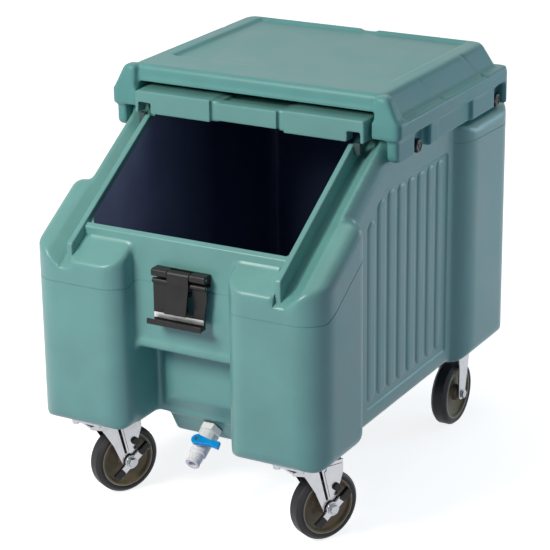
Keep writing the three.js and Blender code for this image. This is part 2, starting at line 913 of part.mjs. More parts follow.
function knobHoles() {
  const radius = knobShankRadius + seatGap;
  const outerX = panelHalfWidth + overrun;
  const innerX = panelHalfWidth - knobShankReach - seatGap;
  return bothSides(join(...knobYs.map((y) => crossRod(radius, innerX, outerX, y, knobZ, pinSides))));
}

function latchScrewHoles() {
  const radius = latchScrewShank + seatGap;
  const depth = latchScrewGrip + seatGap;
  return bothSides(
    rod(radius, -overrun, depth, pinSides)
      .rotateX(-Math.PI / 2)
      .translate(latchScrewX, recessWallY, latchScrewZ),
  );
}

function glideBores() {
  const radius = glidePinRadius + runningGap;
  const innerX = railOuterHalf - glidePinReach - seatGap;
  return bothSides(crossRod(radius, innerX, railOuterHalf + overrun, pivotY, pivotZ, pinSides));
}

function fillHole(radius) {
  const high = bodyUnderside + baseThickness + overrun;
  return rod(radius, 0, high, roundSides).translate(0, bodyHalfLength - fillHoleInset, 0);
}

function binShell() {
  const columns = bothSides(
    join(
      frontColumn(0, bodyUnderside, outerDeckDrop, columnEdgeRadius),
      rearColumn(0, bodyUnderside, rearColumnTop, columnEdgeRadius),
    ),
  );
  const bayFrontY = recessWallY - overrun;
  const bay = box(
    -columnInnerHalf, columnInnerHalf, bayFrontY, sumpRecessBackY,
    0, ledgeStripTopZ - ledgeStripHeight,
  );
  const strip = box(
    -columnInnerHalf - overrun, columnInnerHalf + overrun, recessWallY - ledgeStripReach, recessWallY + overrun,
    ledgeStripTopZ - ledgeStripHeight, ledgeStripTopZ,
  );
  const ledge = box(
    -ledgeHalfWidth, ledgeHalfWidth, slopeY(ledgeTop, gutterDrop), ledgeRearY,
    ledgeTop, rimTop + overrun,
  );
  const deck = cut(join(core(), columns), bay, bothSides(ribField()), frontDeckCutter());
  const dressed = cut(deck, bothSides(gutters()), ledge);
  const whole = join(dressed, bothSides(ribs()), strip, sump(), bothSides(rail()), coaming());
  const hollowed = cut(whole, tank(0), sumpHollow(), foamForm(0), fillHole(fillHoleRadius));
  const throat = onDrain(rod(drainTubeRadius + seatGap, -2 * sumpWall, overrun, roundSides));
  return cut(hollowed, boltHoles(), knobHoles(), latchScrewHoles(), glideBores(), throat);
}

function foamCore() {
  return foamForm(seatGap);
}

function fillPlug() {
  const low = bodyUnderside + panelRise;
  const plug = rod(fillHoleRadius - seatGap, low, low + fillPlugThickness, roundSides);
  return plug.translate(0, bodyHalfLength - fillHoleInset, 0);
}

// Top cover

// A block between a rounded rectangle at its foot and another at its top
function taperedBlock(foot, top, lowZ, highZ) {
  const points = [];
  for (const [corners, z] of [[foot, lowZ], [top, highZ]]) {
    for (const { x, y } of outline(corners).getPoints()) points.push(new THREE.Vector3(x, y, z));
  }
  return new ConvexGeometry(points);
}

function coverRoof() {
  const foot = rectangle(
    -coverBaseHalfWidth, coverBaseHalfWidth, coverBaseFrontY, coverBaseRearY, coverBaseRadius,
  );
  const top = rectangle(
    -coverTopHalfWidth, coverTopHalfWidth, coverTopFrontY, coverTopRearY, coverTopRadius,
  );
  return taperedBlock(foot, top, coverFlangeTop - overrun, coverTop);
}

function coverFlange() {
  const corners = rectangle(
    -coverHalfWidth, coverHalfWidth, coverFrontY, coverRearY, coverFlangeRadius,
  );
  return alongZ(outline(corners), rimTop + seatGap, coverFlangeTop, coverFlangeBevel);
}

function cornerPost() {
  const rearY = coverFrontY + postDepth;
  const low = rectangle(postInnerHalf, coverHalfWidth - coverFlangeBevel / 2, coverFrontY, rearY);
  const high = rectangle(postTopInnerHalf, postTopOuterHalf, coverTopFrontY - coverFlangeBevel, rearY);
  return taperedBlock(low, high, coverFlangeTop - overrun, postTopZ);
}

// The skirt hangs from the flange outside the body's rim, open at the front
function skirt() {
  const high = rimTop + coverFlangeBevel + overrun;
  const outer = rectangle(-skirtHalfWidth, skirtHalfWidth, skirtFrontY, skirtRearY, skirtCornerRadius);
  const innerHalf = panelHalfWidth + seatGap;
  const innerRearY = bodyHalfLength - rimRearInset + seatGap;
  const hollow = box(
    -innerHalf, innerHalf, skirtFrontY - overrun, innerRearY, skirtBottom - overrun, high + overrun,
  );
  return cut(alongZ(outline(outer), skirtBottom, high), hollow);
}

// The skirt's rear corner stands out to the rim of the flange
function skirtCorner() {
  const corners = rectangle(
    coverHalfWidth - 2 * skirtCornerReach, coverHalfWidth - seatGap,
    coverRearY - skirtCornerReach + overrun / 2, coverRearY - seatGap, overrun,
  );
  return alongZ(outline(corners), skirtBottom, coverFlangeTop - coverFlangeBevel);
}

// Pockets round the thumbscrews and the waist between them, on the right side
function skirtPockets() {
  const low = skirtBottom - overrun;
  const high = rimTop + seatGap;
  const outerX = skirtHalfWidth + overrun;
  const pockets = knobPocketReaches.map(([ahead, behind], i) => box(
    panelHalfWidth + seatGap + knobPocketWall, outerX, knobYs[i] - ahead, knobYs[i] + behind, low, high,
  ));
  const waist = box(
    skirtHalfWidth - skirtWaistDepth, outerX, skirtWaistFrontY, skirtWaistRearY, low, high,
  );
  return join(waist, ...pockets);
}

function coverShankHoles() {
  const innerX = panelHalfWidth - overrun;
  const outerX = skirtHalfWidth + overrun;
  const radius = knobShankRadius + seatGap;
  return join(...knobYs.map((y) => crossRod(radius, innerX, outerX, y, knobZ, pinSides)));
}

function topCover() {
  const low = rimTop - overrun;
  const pocket = box(
    -coverPocketHalfWidth, coverPocketHalfWidth, coverTopFrontY + coverSkin / 2, coverPocketRearY,
    low, coverTop - coverSkin,
  );
  const mouth = box(
    -coverMouthHalfWidth, coverMouthHalfWidth, coverFrontY - overrun, coverTopFrontY + coverSkin,
    low, coverMouthTop,
  );
  const panel = box(
    -coverPanelHalfWidth, coverPanelHalfWidth, coverPanelFrontY, coverPanelRearY,
    coverTop - coverPanelDepth, coverTop + overrun,
  );
  const notch = box(
    coverNotchX - coverNotchWidth / 2, coverNotchX + coverNotchWidth / 2,
    coverPanelRearY - overrun, coverRearY, coverTop - coverPanelDepth, coverTop + overrun,
  );
  const body = join(coverRoof(), coverFlange(), bothSides(cornerPost()), skirt(), bothSides(skirtCorner()));
  const openings = join(pocket, mouth, panel, notch);
  return cut(body, openings, bothSides(skirtPockets()), bothSides(coverShankHoles()));
}

// One thumbscrew on the right side: a lobed knob with its shank
function thumbscrew(y) {
  const corners = [];
  for (let k = 0; k < 2 * knobLobes; k += 1) {
    const radius = knobRadius - (k % 2) * knobLobeDepth;
    const turn = (k * Math.PI) / knobLobes;
    corners.push([y + radius * Math.cos(turn), knobZ + radius * Math.sin(turn)]);
  }
  const headX = panelHalfWidth + seatGap + knobPocketWall + knobLift;
  const head = alongX(outline(corners), headX, headX + knobThickness);
  const shank = crossRod(
    knobShankRadius, panelHalfWidth - knobShankReach, headX + knobLift, y, knobZ, pinSides,
  );
  return join(head, shank);
}

// Sliding lid

function lidBarCorners() {
  const innerX = lidInnerHalf;
  const slotX = lidHalfWidth - lidOuterFlange;
  const right = [
    [innerX, lidFlangeBottom],
    [innerX, lidCeiling],
    [slotX, lidCeiling],
    [slotX, lidFlangeBottom],
    [lidHalfWidth, lidFlangeBottom],
    [lidHalfWidth, lidBarTop, lidBarBevel],
  ];
  const left = right.map(([x, z, radius]) => [-x, z, radius]).reverse();
  return [...right, ...left];
}

function slidingLid() {
  const barRearY = lidFrontY + lidFrontBarDepth;
  const padRearY = lidFrontY + lidPadDepth;
  const reliefY = lidFrontY + lidCoamingRelief;
  const slotX = lidHalfWidth - lidOuterFlange;
  const bar = alongY(outline(lidBarCorners()), lidFrontY, barRearY, lidBarBevel / 2);
  const pad = box(-lidHalfWidth, lidHalfWidth, barRearY - overrun, padRearY, lidCeiling, lidBarTop);
  const plate = box(-lidHalfWidth, lidHalfWidth, barRearY - overrun, lidRearY, lidCeiling, lidPlateTop);
  const outerFlange = box(
    slotX, lidHalfWidth, barRearY - overrun, lidRearY, lidFlangeBottom, lidCeiling + overrun,
  );
  const innerFlange = box(
    lidInnerHalf - lidInnerFlange, lidInnerHalf, reliefY, lidRearY, lidFlangeBottom, lidCeiling + overrun,
  );
  const grooveX = lidGripHalfWidth + lidGrooveWidth;
  const groove = box(
    lidGripHalfWidth, grooveX, lidFrontY - overrun, lidFrontY + lidGrooveDepth,
    lidFlangeBottom - overrun, lidBarTop + overrun,
  );
  const gripTop = box(
    -grooveX, grooveX, lidFrontY - overrun, padRearY + overrun, lidGripTop, lidBarTop + overrun,
  );
  const gripBottom = box(
    -lidGripHalfWidth, lidGripHalfWidth, lidFrontY - overrun, barRearY + overrun,
    lidFlangeBottom - overrun, lidGripBottom,
  );
  const scoop = box(
    -lidGripHalfWidth, lidGripHalfWidth, padRearY - lidScoopDepth, padRearY + overrun,
    lidGripTop - lidScoopDrop, lidBarTop + overrun,
  );
  const foot = box(
    slotX, lidHalfWidth, lidRearY - lidFootLength, lidRearY, ledgeTop + seatGap, lidFlangeBottom + overrun,
  );
  const frame = join(bar, pad, plate);
  const runners = join(outerFlange, innerFlange, foot, lidGuide());
  return cut(join(frame, bothSides(runners)), bothSides(groove), gripTop, gripBottom, scoop);
}

// The wedge in the right channel that rides on the glide, along the way that the lid slides
function lidGuide() {
  const slotX = lidHalfWidth - lidOuterFlange;
  const frontY = lidFrontY + lidBarBevel;
  const lean = Math.tan(THREE.MathUtils.degToRad(lidDropDegrees));
  const frontZ = pivotZ + glideAbove + runningGap;
  const endY = Math.min(frontY + (lidCeiling - frontZ) / lean, lidRearY);
  const wedge = [
    [frontY, frontZ],
    [endY, frontZ + (endY - frontY) * lean],
    [endY, lidPlateTop],
    [frontY, lidPlateTop],
  ];
  const outerX = slotX - runningGap;
  return alongX(outline(wedge), outerX - lidGuideWidth, outerX);
}

// A glide that turns in the rail at the brow, inside the lid's channel
function lidGlide() {
  const innerX = railOuterHalf + runningGap;
  const outerX = lidHalfWidth - lidOuterFlange - runningGap;
  const shoe = box(
    innerX, outerX, pivotY - glideHalfLength, pivotY + glideHalfLength,
    pivotZ - glideBelow, pivotZ + glideAbove,
  );
  const pin = crossRod(
    glidePinRadius, railOuterHalf - glidePinReach, innerX + overrun, pivotY, pivotZ, pinSides,
  );
  return join(shoe, pin);
}

// Draw latch

const latchBackY = recessWallY - seatGap;
const latchPinY = recessWallY - latchPinInset;

function latchBracket() {
  const frontY = latchBackY - latchBracketReach;
  const lowZ = latchBracketTopZ - latchBlockHeight;
  const plate = box(
    -latchHalfWidth, latchHalfWidth, latchBackY - latchPlateThickness, latchBackY,
    latchBracketBottomZ, latchBracketTopZ,
  );
  const section = [
    [frontY, lowZ, latchBlockLowRound],
    [latchBackY - latchPlateThickness / 2, lowZ],
    [latchBackY - latchPlateThickness / 2, latchBracketTopZ],
    [frontY, latchBracketTopZ, latchBlockTopRound],
  ];
  const block = alongX(outline(section), latchBlockInnerHalf, latchHalfWidth);
  const pinHole = crossRod(
    latchPinRadius + seatGap, -latchHalfWidth - overrun, latchHalfWidth + overrun,
    latchPinY, latchUpperPinZ, pinSides,
  );
  const screwHole = rod(latchScrewShank + seatGap, -overrun, overrun, pinSides)
    .rotateX(-Math.PI / 2)
    .translate(latchScrewX, latchBackY, latchScrewZ);
  return cut(join(plate, bothSides(block)), pinHole, bothSides(screwHole));
}

function latchScrew() {
  const faceY = latchBackY - latchPlateThickness - seatGap;
  const head = rod(latchScrewRadius, -latchScrewHead, 0, pinSides);
  const shank = rod(latchScrewShank, -latchScrewHead / 2, recessWallY + latchScrewGrip - faceY, pinSides);
  return geometryOf(join(head, shank)).rotateX(-Math.PI / 2).translate(latchScrewX, faceY, latchScrewZ);
}

function latchPin(z) {
  const half = latchHalfWidth - seatGap;
  return crossRod(latchPinRadius, -half, half, latchPinY, z, pinSides);
}

function latchLever() {
  const half = latchStrapHalfWidth;
  const frontY = latchPinY - latchHeadRadius;
  const head = crossRod(latchHeadRadius, -half, half, latchPinY, latchUpperPinZ, roundSides);
  const eye = crossRod(latchBarrelRadius, -half, half, latchPinY, latchLowerPinZ, pinSides);
  const strap = box(
    -half, half, frontY, frontY + latchStrapThickness, latchStrapBottomZ, latchUpperPinZ,
  );
  const web = box(
    -half, half, frontY + latchStrapThickness / 2, latchPinY, latchLowerPinZ, latchUpperPinZ,
  );
  const upperHole = crossRod(
    latchPinRadius + runningGap, -latchHalfWidth, latchHalfWidth, latchPinY, latchUpperPinZ, pinSides,
  );
  const lowerHole = crossRod(
    latchPinRadius + seatGap, -latchHalfWidth, latchHalfWidth, latchPinY, latchLowerPinZ, pinSides,
  );
  return cut(join(head, eye, strap, web), upperHole, lowerHole);
}

// The hook frame: two barrels, two arms, a bar below the window and an upturned lip
function latchHook() {
  const faceY = latchPinY - latchHookSetback;
  const backY = faceY + latchHookThickness;
  const lipY = latchPinY - latchLipReach;
  const lipHalf = latchHalfWidth + latchLipOverhang;
  const eye = crossRod(
    latchBarrelRadius, latchBlockInnerHalf, latchHalfWidth, latchPinY, latchLowerPinZ, pinSides,
  );
  const arm = box(latchWindowHalfWidth, latchHalfWidth, faceY, backY, latchTroughZ, latchLowerPinZ);
  const bar = box(-latchHalfWidth, latchHalfWidth, faceY, backY, latchTroughZ, latchWindowZ);
  const trough = box(
    -latchHalfWidth, latchHalfWidth, lipY, backY, latchTroughZ, latchTroughZ + latchLipThickness,
  );
  const lip = box(
    -lipHalf, lipHalf, lipY - latchLipThickness, lipY, latchTroughZ, latchTroughZ + latchLipHeight,
  );
  const hole = crossRod(
    latchPinRadius + runningGap, -lipHalf, lipHalf, latchPinY, latchLowerPinZ, pinSides,
  );
  return cut(join(bothSides(eye), bothSides(arm), bar, trough, lip), hole);
}

function latchStrip() {
  const backY = latchPinY - latchHookSetback - seatGap;
  const lowZ = latchTroughZ + latchLipThickness + seatGap;
  const half = latchHalfWidth - latchStripThickness;
  return box(-half, half, backY - latchStripThickness, backY, lowZ, lowZ + latchStripHeight);
}

// Drain fitting and valve, built along Z from the outside of the sump's slanted foot

const chamferLean = Math.atan2(sumpChamferFootY - sumpFrontY, sumpChamferTopZ - sumpBottomZ);
const drainY = sumpChamferFootY - drainFromFoot * Math.sin(chamferLean);
const drainZ = sumpBottomZ + drainFromFoot * Math.cos(chamferLean);
const drainTurn = Math.PI / 2 + chamferLean;
const drainNutStart = drainGasketThickness + 2 * seatGap;
const valveStart = drainNutStart + drainNutThickness + seatGap;
const tubeHoleRadius = drainTubeRadius + seatGap;

// Turns a drain piece from its own axis to its place on the bin
function onDrain(shape) {
  return shape.rotateX(drainTurn).translate(0, drainY, drainZ);
}

// A shape built along Z at a place up the drain axis, turned to stand along Y
function acrossDrain(shape, place) {
  return shape.rotateX(-Math.PI / 2).translate(0, 0, place);
}

function drainBulkhead() {
  const flangeTop = -sumpWall - seatGap;
  const flangeBottom = flangeTop - drainFlangeThickness;
  return turned([
    [drainBore, flangeBottom],
    [drainFlangeRadius, flangeBottom],
    [drainFlangeRadius, flangeTop],
    [drainTubeRadius, flangeTop],
    [drainTubeRadius, drainTubeEnd],
    [drainBore, drainTubeEnd],
    [drainBore, flangeBottom],
  ], roundSides);
}

function drainNut() {
  const radius = drainNutAcrossFlats / Math.sqrt(3);
  const blank = rod(radius, drainNutStart, drainNutStart + drainNutThickness, hexSides);
  return cut(blank, rod(tubeHoleRadius, 0, valveStart + overrun, roundSides));
}

function valveBody() {
  const barrel = turned([
    [tubeHoleRadius, valveStart],
    [valveCollarRadius, valveStart],
    [valveCollarRadius, valveCollarEnd],
    [valveBodyRadius, valveCollarEnd],
    [valveBodyRadius, valveBodyEnd],
    [valveNeckRadius, valveBodyEnd],
    [valveNeckRadius, valveEnd - valveTipLength],
    [valveTipRadius, valveEnd - valveTipLength],
    [valveTipRadius, valveEnd],
    [drainBore, valveEnd],
    [drainBore, drainTubeEnd + seatGap],
    [tubeHoleRadius, drainTubeEnd + seatGap],
    [tubeHoleRadius, valveStart],
  ], roundSides);
  const boss = acrossDrain(rod(valveBossRadius, valveBallRadius, valveBossTop, pinSides), valveBallPlace);
  const bore = rod(drainBore, drainTubeEnd + seatGap, valveEnd + overrun, roundSides);
  const seat = new THREE.SphereGeometry(valveBallRadius + runningGap, pinSides, pinSides)
    .translate(0, 0, valveBallPlace);
  const stemHole = rod(stemRadius + runningGap, 0, valveBossTop + overrun, pinSides);
  return cut(join(barrel, boss), bore, seat, acrossDrain(stemHole, valveBallPlace));
}

// Heights along the valve stem
const handleLow = valveBossTop + seatGap;
const handleTop = handleLow + handleThickness;
const stemTop = handleLow + handleSocketDepth - seatGap;

function valveBall() {
  const ball = new THREE.SphereGeometry(valveBallRadius, pinSides, pinSides);
  const stem = rod(stemRadius, valveBallRadius / 2, stemTop, pinSides).rotateX(-Math.PI / 2);
  const bore = crossRod(
    drainBore, -valveBallRadius - overrun, valveBallRadius + overrun, 0, 0, pinSides,
  );
  const thread = rod(handleScrewShank + seatGap, handleTop - handleScrewLength - 2 * seatGap, handleTop, pinSides)
    .rotateX(-Math.PI / 2);
  return cut(join(ball, stem), bore, thread);
}

function valveHandle() {
  const hub = rod(handleHubRadius, handleLow, handleTop, roundSides);
  const arm = alongZ(outline([
    [0, -handleWaist],
    [handleLength, -handleTipHalf, handleTipHalf / 2],
    [handleLength, handleTipHalf, handleTipHalf / 2],
    [0, handleWaist],
  ]), handleLow, handleTop);
  const socket = rod(stemRadius + seatGap, handleLow - overrun, stemTop + seatGap, pinSides);
  const hole = rod(handleScrewShank + seatGap, handleLow, handleTop + overrun, pinSides);
  const sinkLow = handleTop - handleScrewDepth - seatGap;
  const sink = rod(handleScrewHead + seatGap, sinkLow, handleTop + overrun, pinSides);
  return geometryOf(cut(join(hub, arm), socket, hole, sink)).rotateX(-Math.PI / 2);
}

function handleScrew() {
  const head = rod(handleScrewHead, handleTop - handleScrewDepth, handleTop, pinSides);
  const shank = rod(handleScrewShank, handleTop - handleScrewLength, handleTop - handleScrewDepth / 2, pinSides);
  return geometryOf(join(head, shank)).rotateX(-Math.PI / 2);
}

// Casters, each built over a point on the floor below the middle of its plate

const plateLow = casterHeight - plateThickness;
const kingRingTop = plateLow - seatGap;
const crownTop = kingRingTop - kingRingHeight - runningGap;
const forkHalf = forkGap + forkThickness;
const rimOuter = wheelRadius - tyreThickness - seatGap;

function casterPlate() {
  const corners = rectangle(-plateHalfX, plateHalfX, -plateHalfY, plateHalfY, plateCornerRadius);
  const holes = platePattern().map(([x, y]) => (
    rod(plateBoltRadius + seatGap, plateLow - overrun, casterHeight + overrun, fastenerSides)
      .translate(x, y, 0)
  ));
  return cut(alongZ(outline(corners), plateLow, casterHeight), ...holes);
}

// The four bolts and the locking strip that their heads hold against the plate. Its links along the
// plate stand at the given places across
function plateBolts(linkXs) {
  const headTop = plateLow - seatGap;
  const half = boltStripWidth / 2;
  const lowZ = headTop - boltStripThickness;
  const cross = [-plateBoltY, plateBoltY].map((y) => (
    box(-plateBoltX - half, plateBoltX + half, y - half, y + half, lowZ, headTop)
  ));
  const links = linkXs.map((x) => box(x - half, x + half, -plateBoltY, plateBoltY, lowZ, headTop));
  const bolts = platePattern().map(([x, y]) => join(
    rod(plateBoltHead, headTop - plateBoltHeadThickness, headTop, hexSides),
    rod(plateBoltRadius, headTop - overrun / 2, bodyUnderside + plateBoltGrip, fastenerSides),
  ).translate(x, y, 0));
  return join(...cross, ...links, ...bolts);
}

// The race under the plate with the king pin and the head that carries the crown
function kingRing() {
  const headTop = crownTop - crownThickness - runningGap;
  return turned([
    [0, headTop - kingHeadHeight],
    [kingHeadRadius, headTop - kingHeadHeight],
    [kingHeadRadius, headTop],
    [kingPinRadius, headTop],
    [kingPinRadius, kingRingTop - kingRingHeight],
    [kingRingRadius, kingRingTop - kingRingHeight],
    [kingRingRadius, kingRingTop],
    [0, kingRingTop],
  ], roundSides);
}

// A fork leg: its foot is round the axle and its edges follow the shares up to the crown
function forkLeg(trail, frontY, rearY, topZ, shares) {
  const lowZ = wheelRadius - forkFootRadius;
  const corners = [
    [trail - forkFootRadius, lowZ, forkFootRound],
    [trail + forkFootRadius, lowZ, forkFootRound],
  ];
  for (const [yShare, zShare] of shares) {
    corners.push([frontY + yShare * (rearY - frontY), lowZ + zShare * (topZ - lowZ)]);
  }
  return alongX(outline(corners), forkGap, forkHalf);
}

function axleHole(trail) {
  const half = forkHalf + overrun;
  return crossRod(axleRadius + seatGap, -half, half, trail, wheelRadius, pinSides);
}

function swivelFork() {
  const crown = rectangle(-forkHalf, forkHalf, forkFrontY, forkRearY, plateCornerRadius);
  const leg = forkLeg(casterTrail, forkFrontY, forkRearY, crownTop, swivelLegShares);
  const hole = rod(kingPinRadius + runningGap, crownTop - 2 * overrun, crownTop + overrun, roundSides);
  const body = join(alongZ(outline(crown), crownTop - crownThickness, crownTop), bothSides(leg));
  return cut(body, hole, axleHole(casterTrail));
}

function rigidFork() {
  const leg = forkLeg(-rearAxleLead, -rearForkHalf, rearForkHalf, plateLow + plateThickness / 2, rigidLegShares);
  return cut(join(casterPlate(), bothSides(leg)), axleHole(-rearAxleLead));
}

// An axle bolt between a head on the left and a nut on the right
function axle(trail, outboard) {
  const headX = -forkHalf - seatGap;
  const nutX = forkHalf + outboard + seatGap;
  return join(
    crossRod(axleRadius, headX - overrun / 2, nutX + overrun / 2, trail, wheelRadius, pinSides),
    crossRod(axleHeadRadius, headX - axleHeadThickness, headX, trail, wheelRadius, hexSides),
    crossRod(axleHeadRadius, nutX, nutX + axleHeadThickness, trail, wheelRadius, hexSides),
  );
}

// A turned wheel piece set on the axle
function onAxle(profile, trail, segments) {
  return turned(profile, segments).rotateY(Math.PI / 2).translate(0, trail, wheelRadius);
}

function rim(trail) {
  const bore = bushRadius + seatGap;
  const web = rimWidth / 2 - rimDish;
  const edge = rimWidth / 2;
  const inner = rimOuter - rimLip;
  return onAxle([
    [bore, -hubHalfWidth],
    [hubRadius, -hubHalfWidth],
    [hubRadius, -web],
    [inner, -web],
    [inner, -edge],
    [rimOuter, -edge],
    [rimOuter, edge],
    [inner, edge],
    [inner, web],
    [hubRadius, web],
    [hubRadius, hubHalfWidth],
    [bore, hubHalfWidth],
    [bore, -hubHalfWidth],
  ], trail, wheelSides);
}

function tyre(trail) {
  const inner = wheelRadius - tyreThickness;
  const half = wheelWidth / 2;
  return onAxle([
    [inner, -half],
    [wheelRadius - tyreShoulder, -half],
    [wheelRadius, tyreShoulder - half],
    [wheelRadius, half - tyreShoulder],
    [wheelRadius - tyreShoulder, half],
    [inner, half],
    [inner, -half],
  ], trail, wheelSides);
}

function bush(trail) {
  const inner = axleRadius + runningGap;
  return onAxle([
    [inner, -hubHalfWidth],
    [bushRadius, -hubHalfWidth],
    [bushRadius, hubHalfWidth],
    [inner, hubHalfWidth],
    [inner, -hubHalfWidth],
  ], trail, pinSides);
}

// A brake piece drawn level round the axle, then tipped up to the rear
function onBrake(shape) {
  const tip = THREE.MathUtils.degToRad(brakeDegrees);
  return geometryOf(shape).rotateX(tip).translate(0, casterTrail, wheelRadius);
}

const rockerNearX = forkHalf + brakeStripThickness + 2 * seatGap;
const rockerFarX = rockerNearX + brakeThickness;

function brakeRocker() {
  const half = brakeLength / 2;
  const strap = alongX(
    outline(rectangle(-half, half, -brakeWidth / 2, brakeWidth / 2, brakeCornerRadius)),
    rockerNearX, rockerFarX,
  );
  const waist = crossRod(brakeWaistRadius, rockerNearX, rockerFarX, 0, 0, roundSides);
  const hole = crossRod(axleRadius + runningGap, forkGap, rockerFarX + overrun, 0, 0, pinSides);
  return onBrake(cut(join(strap, waist), hole));
}

// The pads at both ends of the rocker, joined by a strip behind it
function brakePads() {
  const nearX = forkHalf + seatGap;
  const reach = brakeLength / 2 + seatGap;
  const strip = alongX(
    outline(rectangle(-reach - brakeEndGrip, reach + brakeEndGrip, -brakeStripHalf, brakeStripHalf)),
    nearX, rockerNearX - seatGap,
  );
  const pads = [-1, 1].map((side) => {
    const near = brakeLength / 2 - brakePadLength;
    const end = reach + brakeEndGrip;
    const [frontY, rearY] = side < 0 ? [-end, -near] : [near, end];
    const [gripFrontY, gripRearY] = side < 0 ? [-end, -reach] : [reach, end];
    const face = alongX(
      outline(rectangle(frontY, rearY, -brakePadHalf, brakePadHalf, brakeEndGrip)),
      rockerFarX + seatGap, rockerFarX + brakePadRise,
    );
    const grip = box(nearX, rockerFarX + brakePadRise / 2, gripFrontY, gripRearY, -brakeStripHalf, brakeStripHalf);
    return join(face, grip);
  });
  const hole = crossRod(axleRadius + runningGap, forkGap, rockerFarX + overrun, 0, 0, pinSides);
  return onBrake(cut(join(strip, ...pads), hole));
}

function brakeCap() {
  const nearX = forkHalf + seatGap;
  return crossRod(
    capRadius, nearX, nearX + capThickness, casterTrail + capShift, wheelRadius + capRise, roundSides,
  );
}

function addWheel(group, name, trail) {
  addMesh(group, name + '_rim', rim(trail), rimPlastic);
  addMesh(group, name + '_tyre', tyre(trail), tyreRubber);
  addMesh(group, name + '_bush', bush(trail), bushMetal);
}

function addSwivelCaster(name, x) {
  const fixed = new THREE.Group();
  fixed.position.set(x, frontCasterY, 0);
  bin.add(fixed);
  const turning = new THREE.Group();
  turning.rotation.z = THREE.MathUtils.degToRad(swivelDegrees);
  fixed.add(turning);
  addMesh(fixed, name + '_plate', casterPlate(), steel);
  addMesh(fixed, name + '_bolts', plateBolts([-plateBoltX, plateBoltX]), steel);
  addMesh(fixed, name + '_king_ring', kingRing(), steel);
  addMesh(turning, name + '_fork', swivelFork(), chrome);
  addMesh(turning, name + '_axle', axle(casterTrail, rockerFarX - forkHalf), steel);
  addWheel(turning, name, casterTrail);
  addMesh(turning, name + '_brake', brakeRocker(), chrome);
  addMesh(turning, name + '_brake_pads', brakePads(), blackPlastic);
  addMesh(turning, name + '_cap', brakeCap(), blackPlastic);
}

function addRigidCaster(name, x) {
  const fixed = new THREE.Group();
  fixed.position.set(x, rearCasterY, 0);
  bin.add(fixed);
  addMesh(fixed, name + '_fork', rigidFork(), chrome);
  addMesh(fixed, name + '_bolts', plateBolts([0]), steel);
  addMesh(fixed, name + '_axle', axle(-rearAxleLead, 0), steel);
  addWheel(fixed, name, -rearAxleLead);
}

// The whole bin

function addBody() {
  addMesh(bin, 'bin_shell', binShell(), bodyPlastic);
  addMesh(bin, 'foam_core', foamCore(), foamFill);
  addMesh(bin, 'foam_fill_plug', fillPlug(), bodyPlastic);
  addMesh(bin, 'top_cover', topCover(), coverPlastic);
  const screwNames = ['front', 'rear'];
  knobYs.forEach((y, i) => {
    addMesh(bin, 'thumbscrew_' + screwNames[i] + '_right', thumbscrew(y), knobPlastic);
    addMesh(bin, 'thumbscrew_' + screwNames[i] + '_left', mirrored(geometryOf(thumbscrew(y))), knobPlastic);
  });
  addMesh(bin, 'sliding_lid', slidingLid(), bodyPlastic);
  addMesh(bin, 'lid_glide_right', lidGlide(), glidePlastic);
  addMesh(bin, 'lid_glide_left', mirrored(geometryOf(lidGlide())), glidePlastic);
}

function addLatch() {
  addMesh(bin, 'latch_bracket', latchBracket(), blackPlastic);
  addMesh(bin, 'latch_screw_right', latchScrew(), steel);
  addMesh(bin, 'latch_screw_left', mirrored(latchScrew()), steel);
  addMesh(bin, 'latch_pivot_pin', latchPin(latchUpperPinZ), steel);
  addMesh(bin, 'latch_lever', latchLever(), blackPlastic);
  addMesh(bin, 'latch_link_pin', latchPin(latchLowerPinZ), steel);
  addMesh(bin, 'latch_hook', latchHook(), blackPlastic);
  addMesh(bin, 'latch_strip', latchStrip(), steel);
}

function addDrain() {
  const drain = new THREE.Group();
  drain.position.set(0, drainY, drainZ);
  drain.rotation.x = drainTurn;
  bin.add(drain);
  const gasketTop = seatGap + drainGasketThickness;
  addMesh(drain, 'drain_bulkhead', drainBulkhead(), whitePlastic);
  addMesh(drain, 'drain_gasket', ring(drainGasketRadius, tubeHoleRadius, seatGap, gasketTop, roundSides), sealRubber);
  addMesh(drain, 'drain_nut', drainNut(), whitePlastic);
  addMesh(drain, 'valve_body', valveBody(), whitePlastic);
  const turning = new THREE.Group();
  turning.position.set(0, 0, valveBallPlace);
  turning.rotation.y = -THREE.MathUtils.degToRad(handleRestDegrees);
  drain.add(turning);
  addMesh(turning, 'valve_ball', valveBall(), steel);
  addMesh(turning, 'valve_handle', valveHandle(), bluePlastic);
  addMesh(turning, 'valve_handle_screw', handleScrew(), steel);
}

addBody();
addLatch();
addDrain();
addSwivelCaster('front_left_caster', frontCasterShift - frontCasterX);
addSwivelCaster('front_right_caster', frontCasterShift + frontCasterX);
addRigidCaster('rear_left_caster', -rearCasterX);
addRigidCaster('rear_right_caster', rearCasterX);

export default bin;
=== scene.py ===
"""Mobile ice bin: its finished look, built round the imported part.

A moulded plastic bin on four casters, with a sloped mouth between two rails, a sliding lid parked under a
screwed-on cover, a draw latch and a drain valve. Lengths in the tables are in millimetres, as on a
drawing; the properties are in metres. X runs to the right, Y to the back and Z up.
"""

import json
import math

import bmesh
import bpy
from mathutils import Matrix, Vector


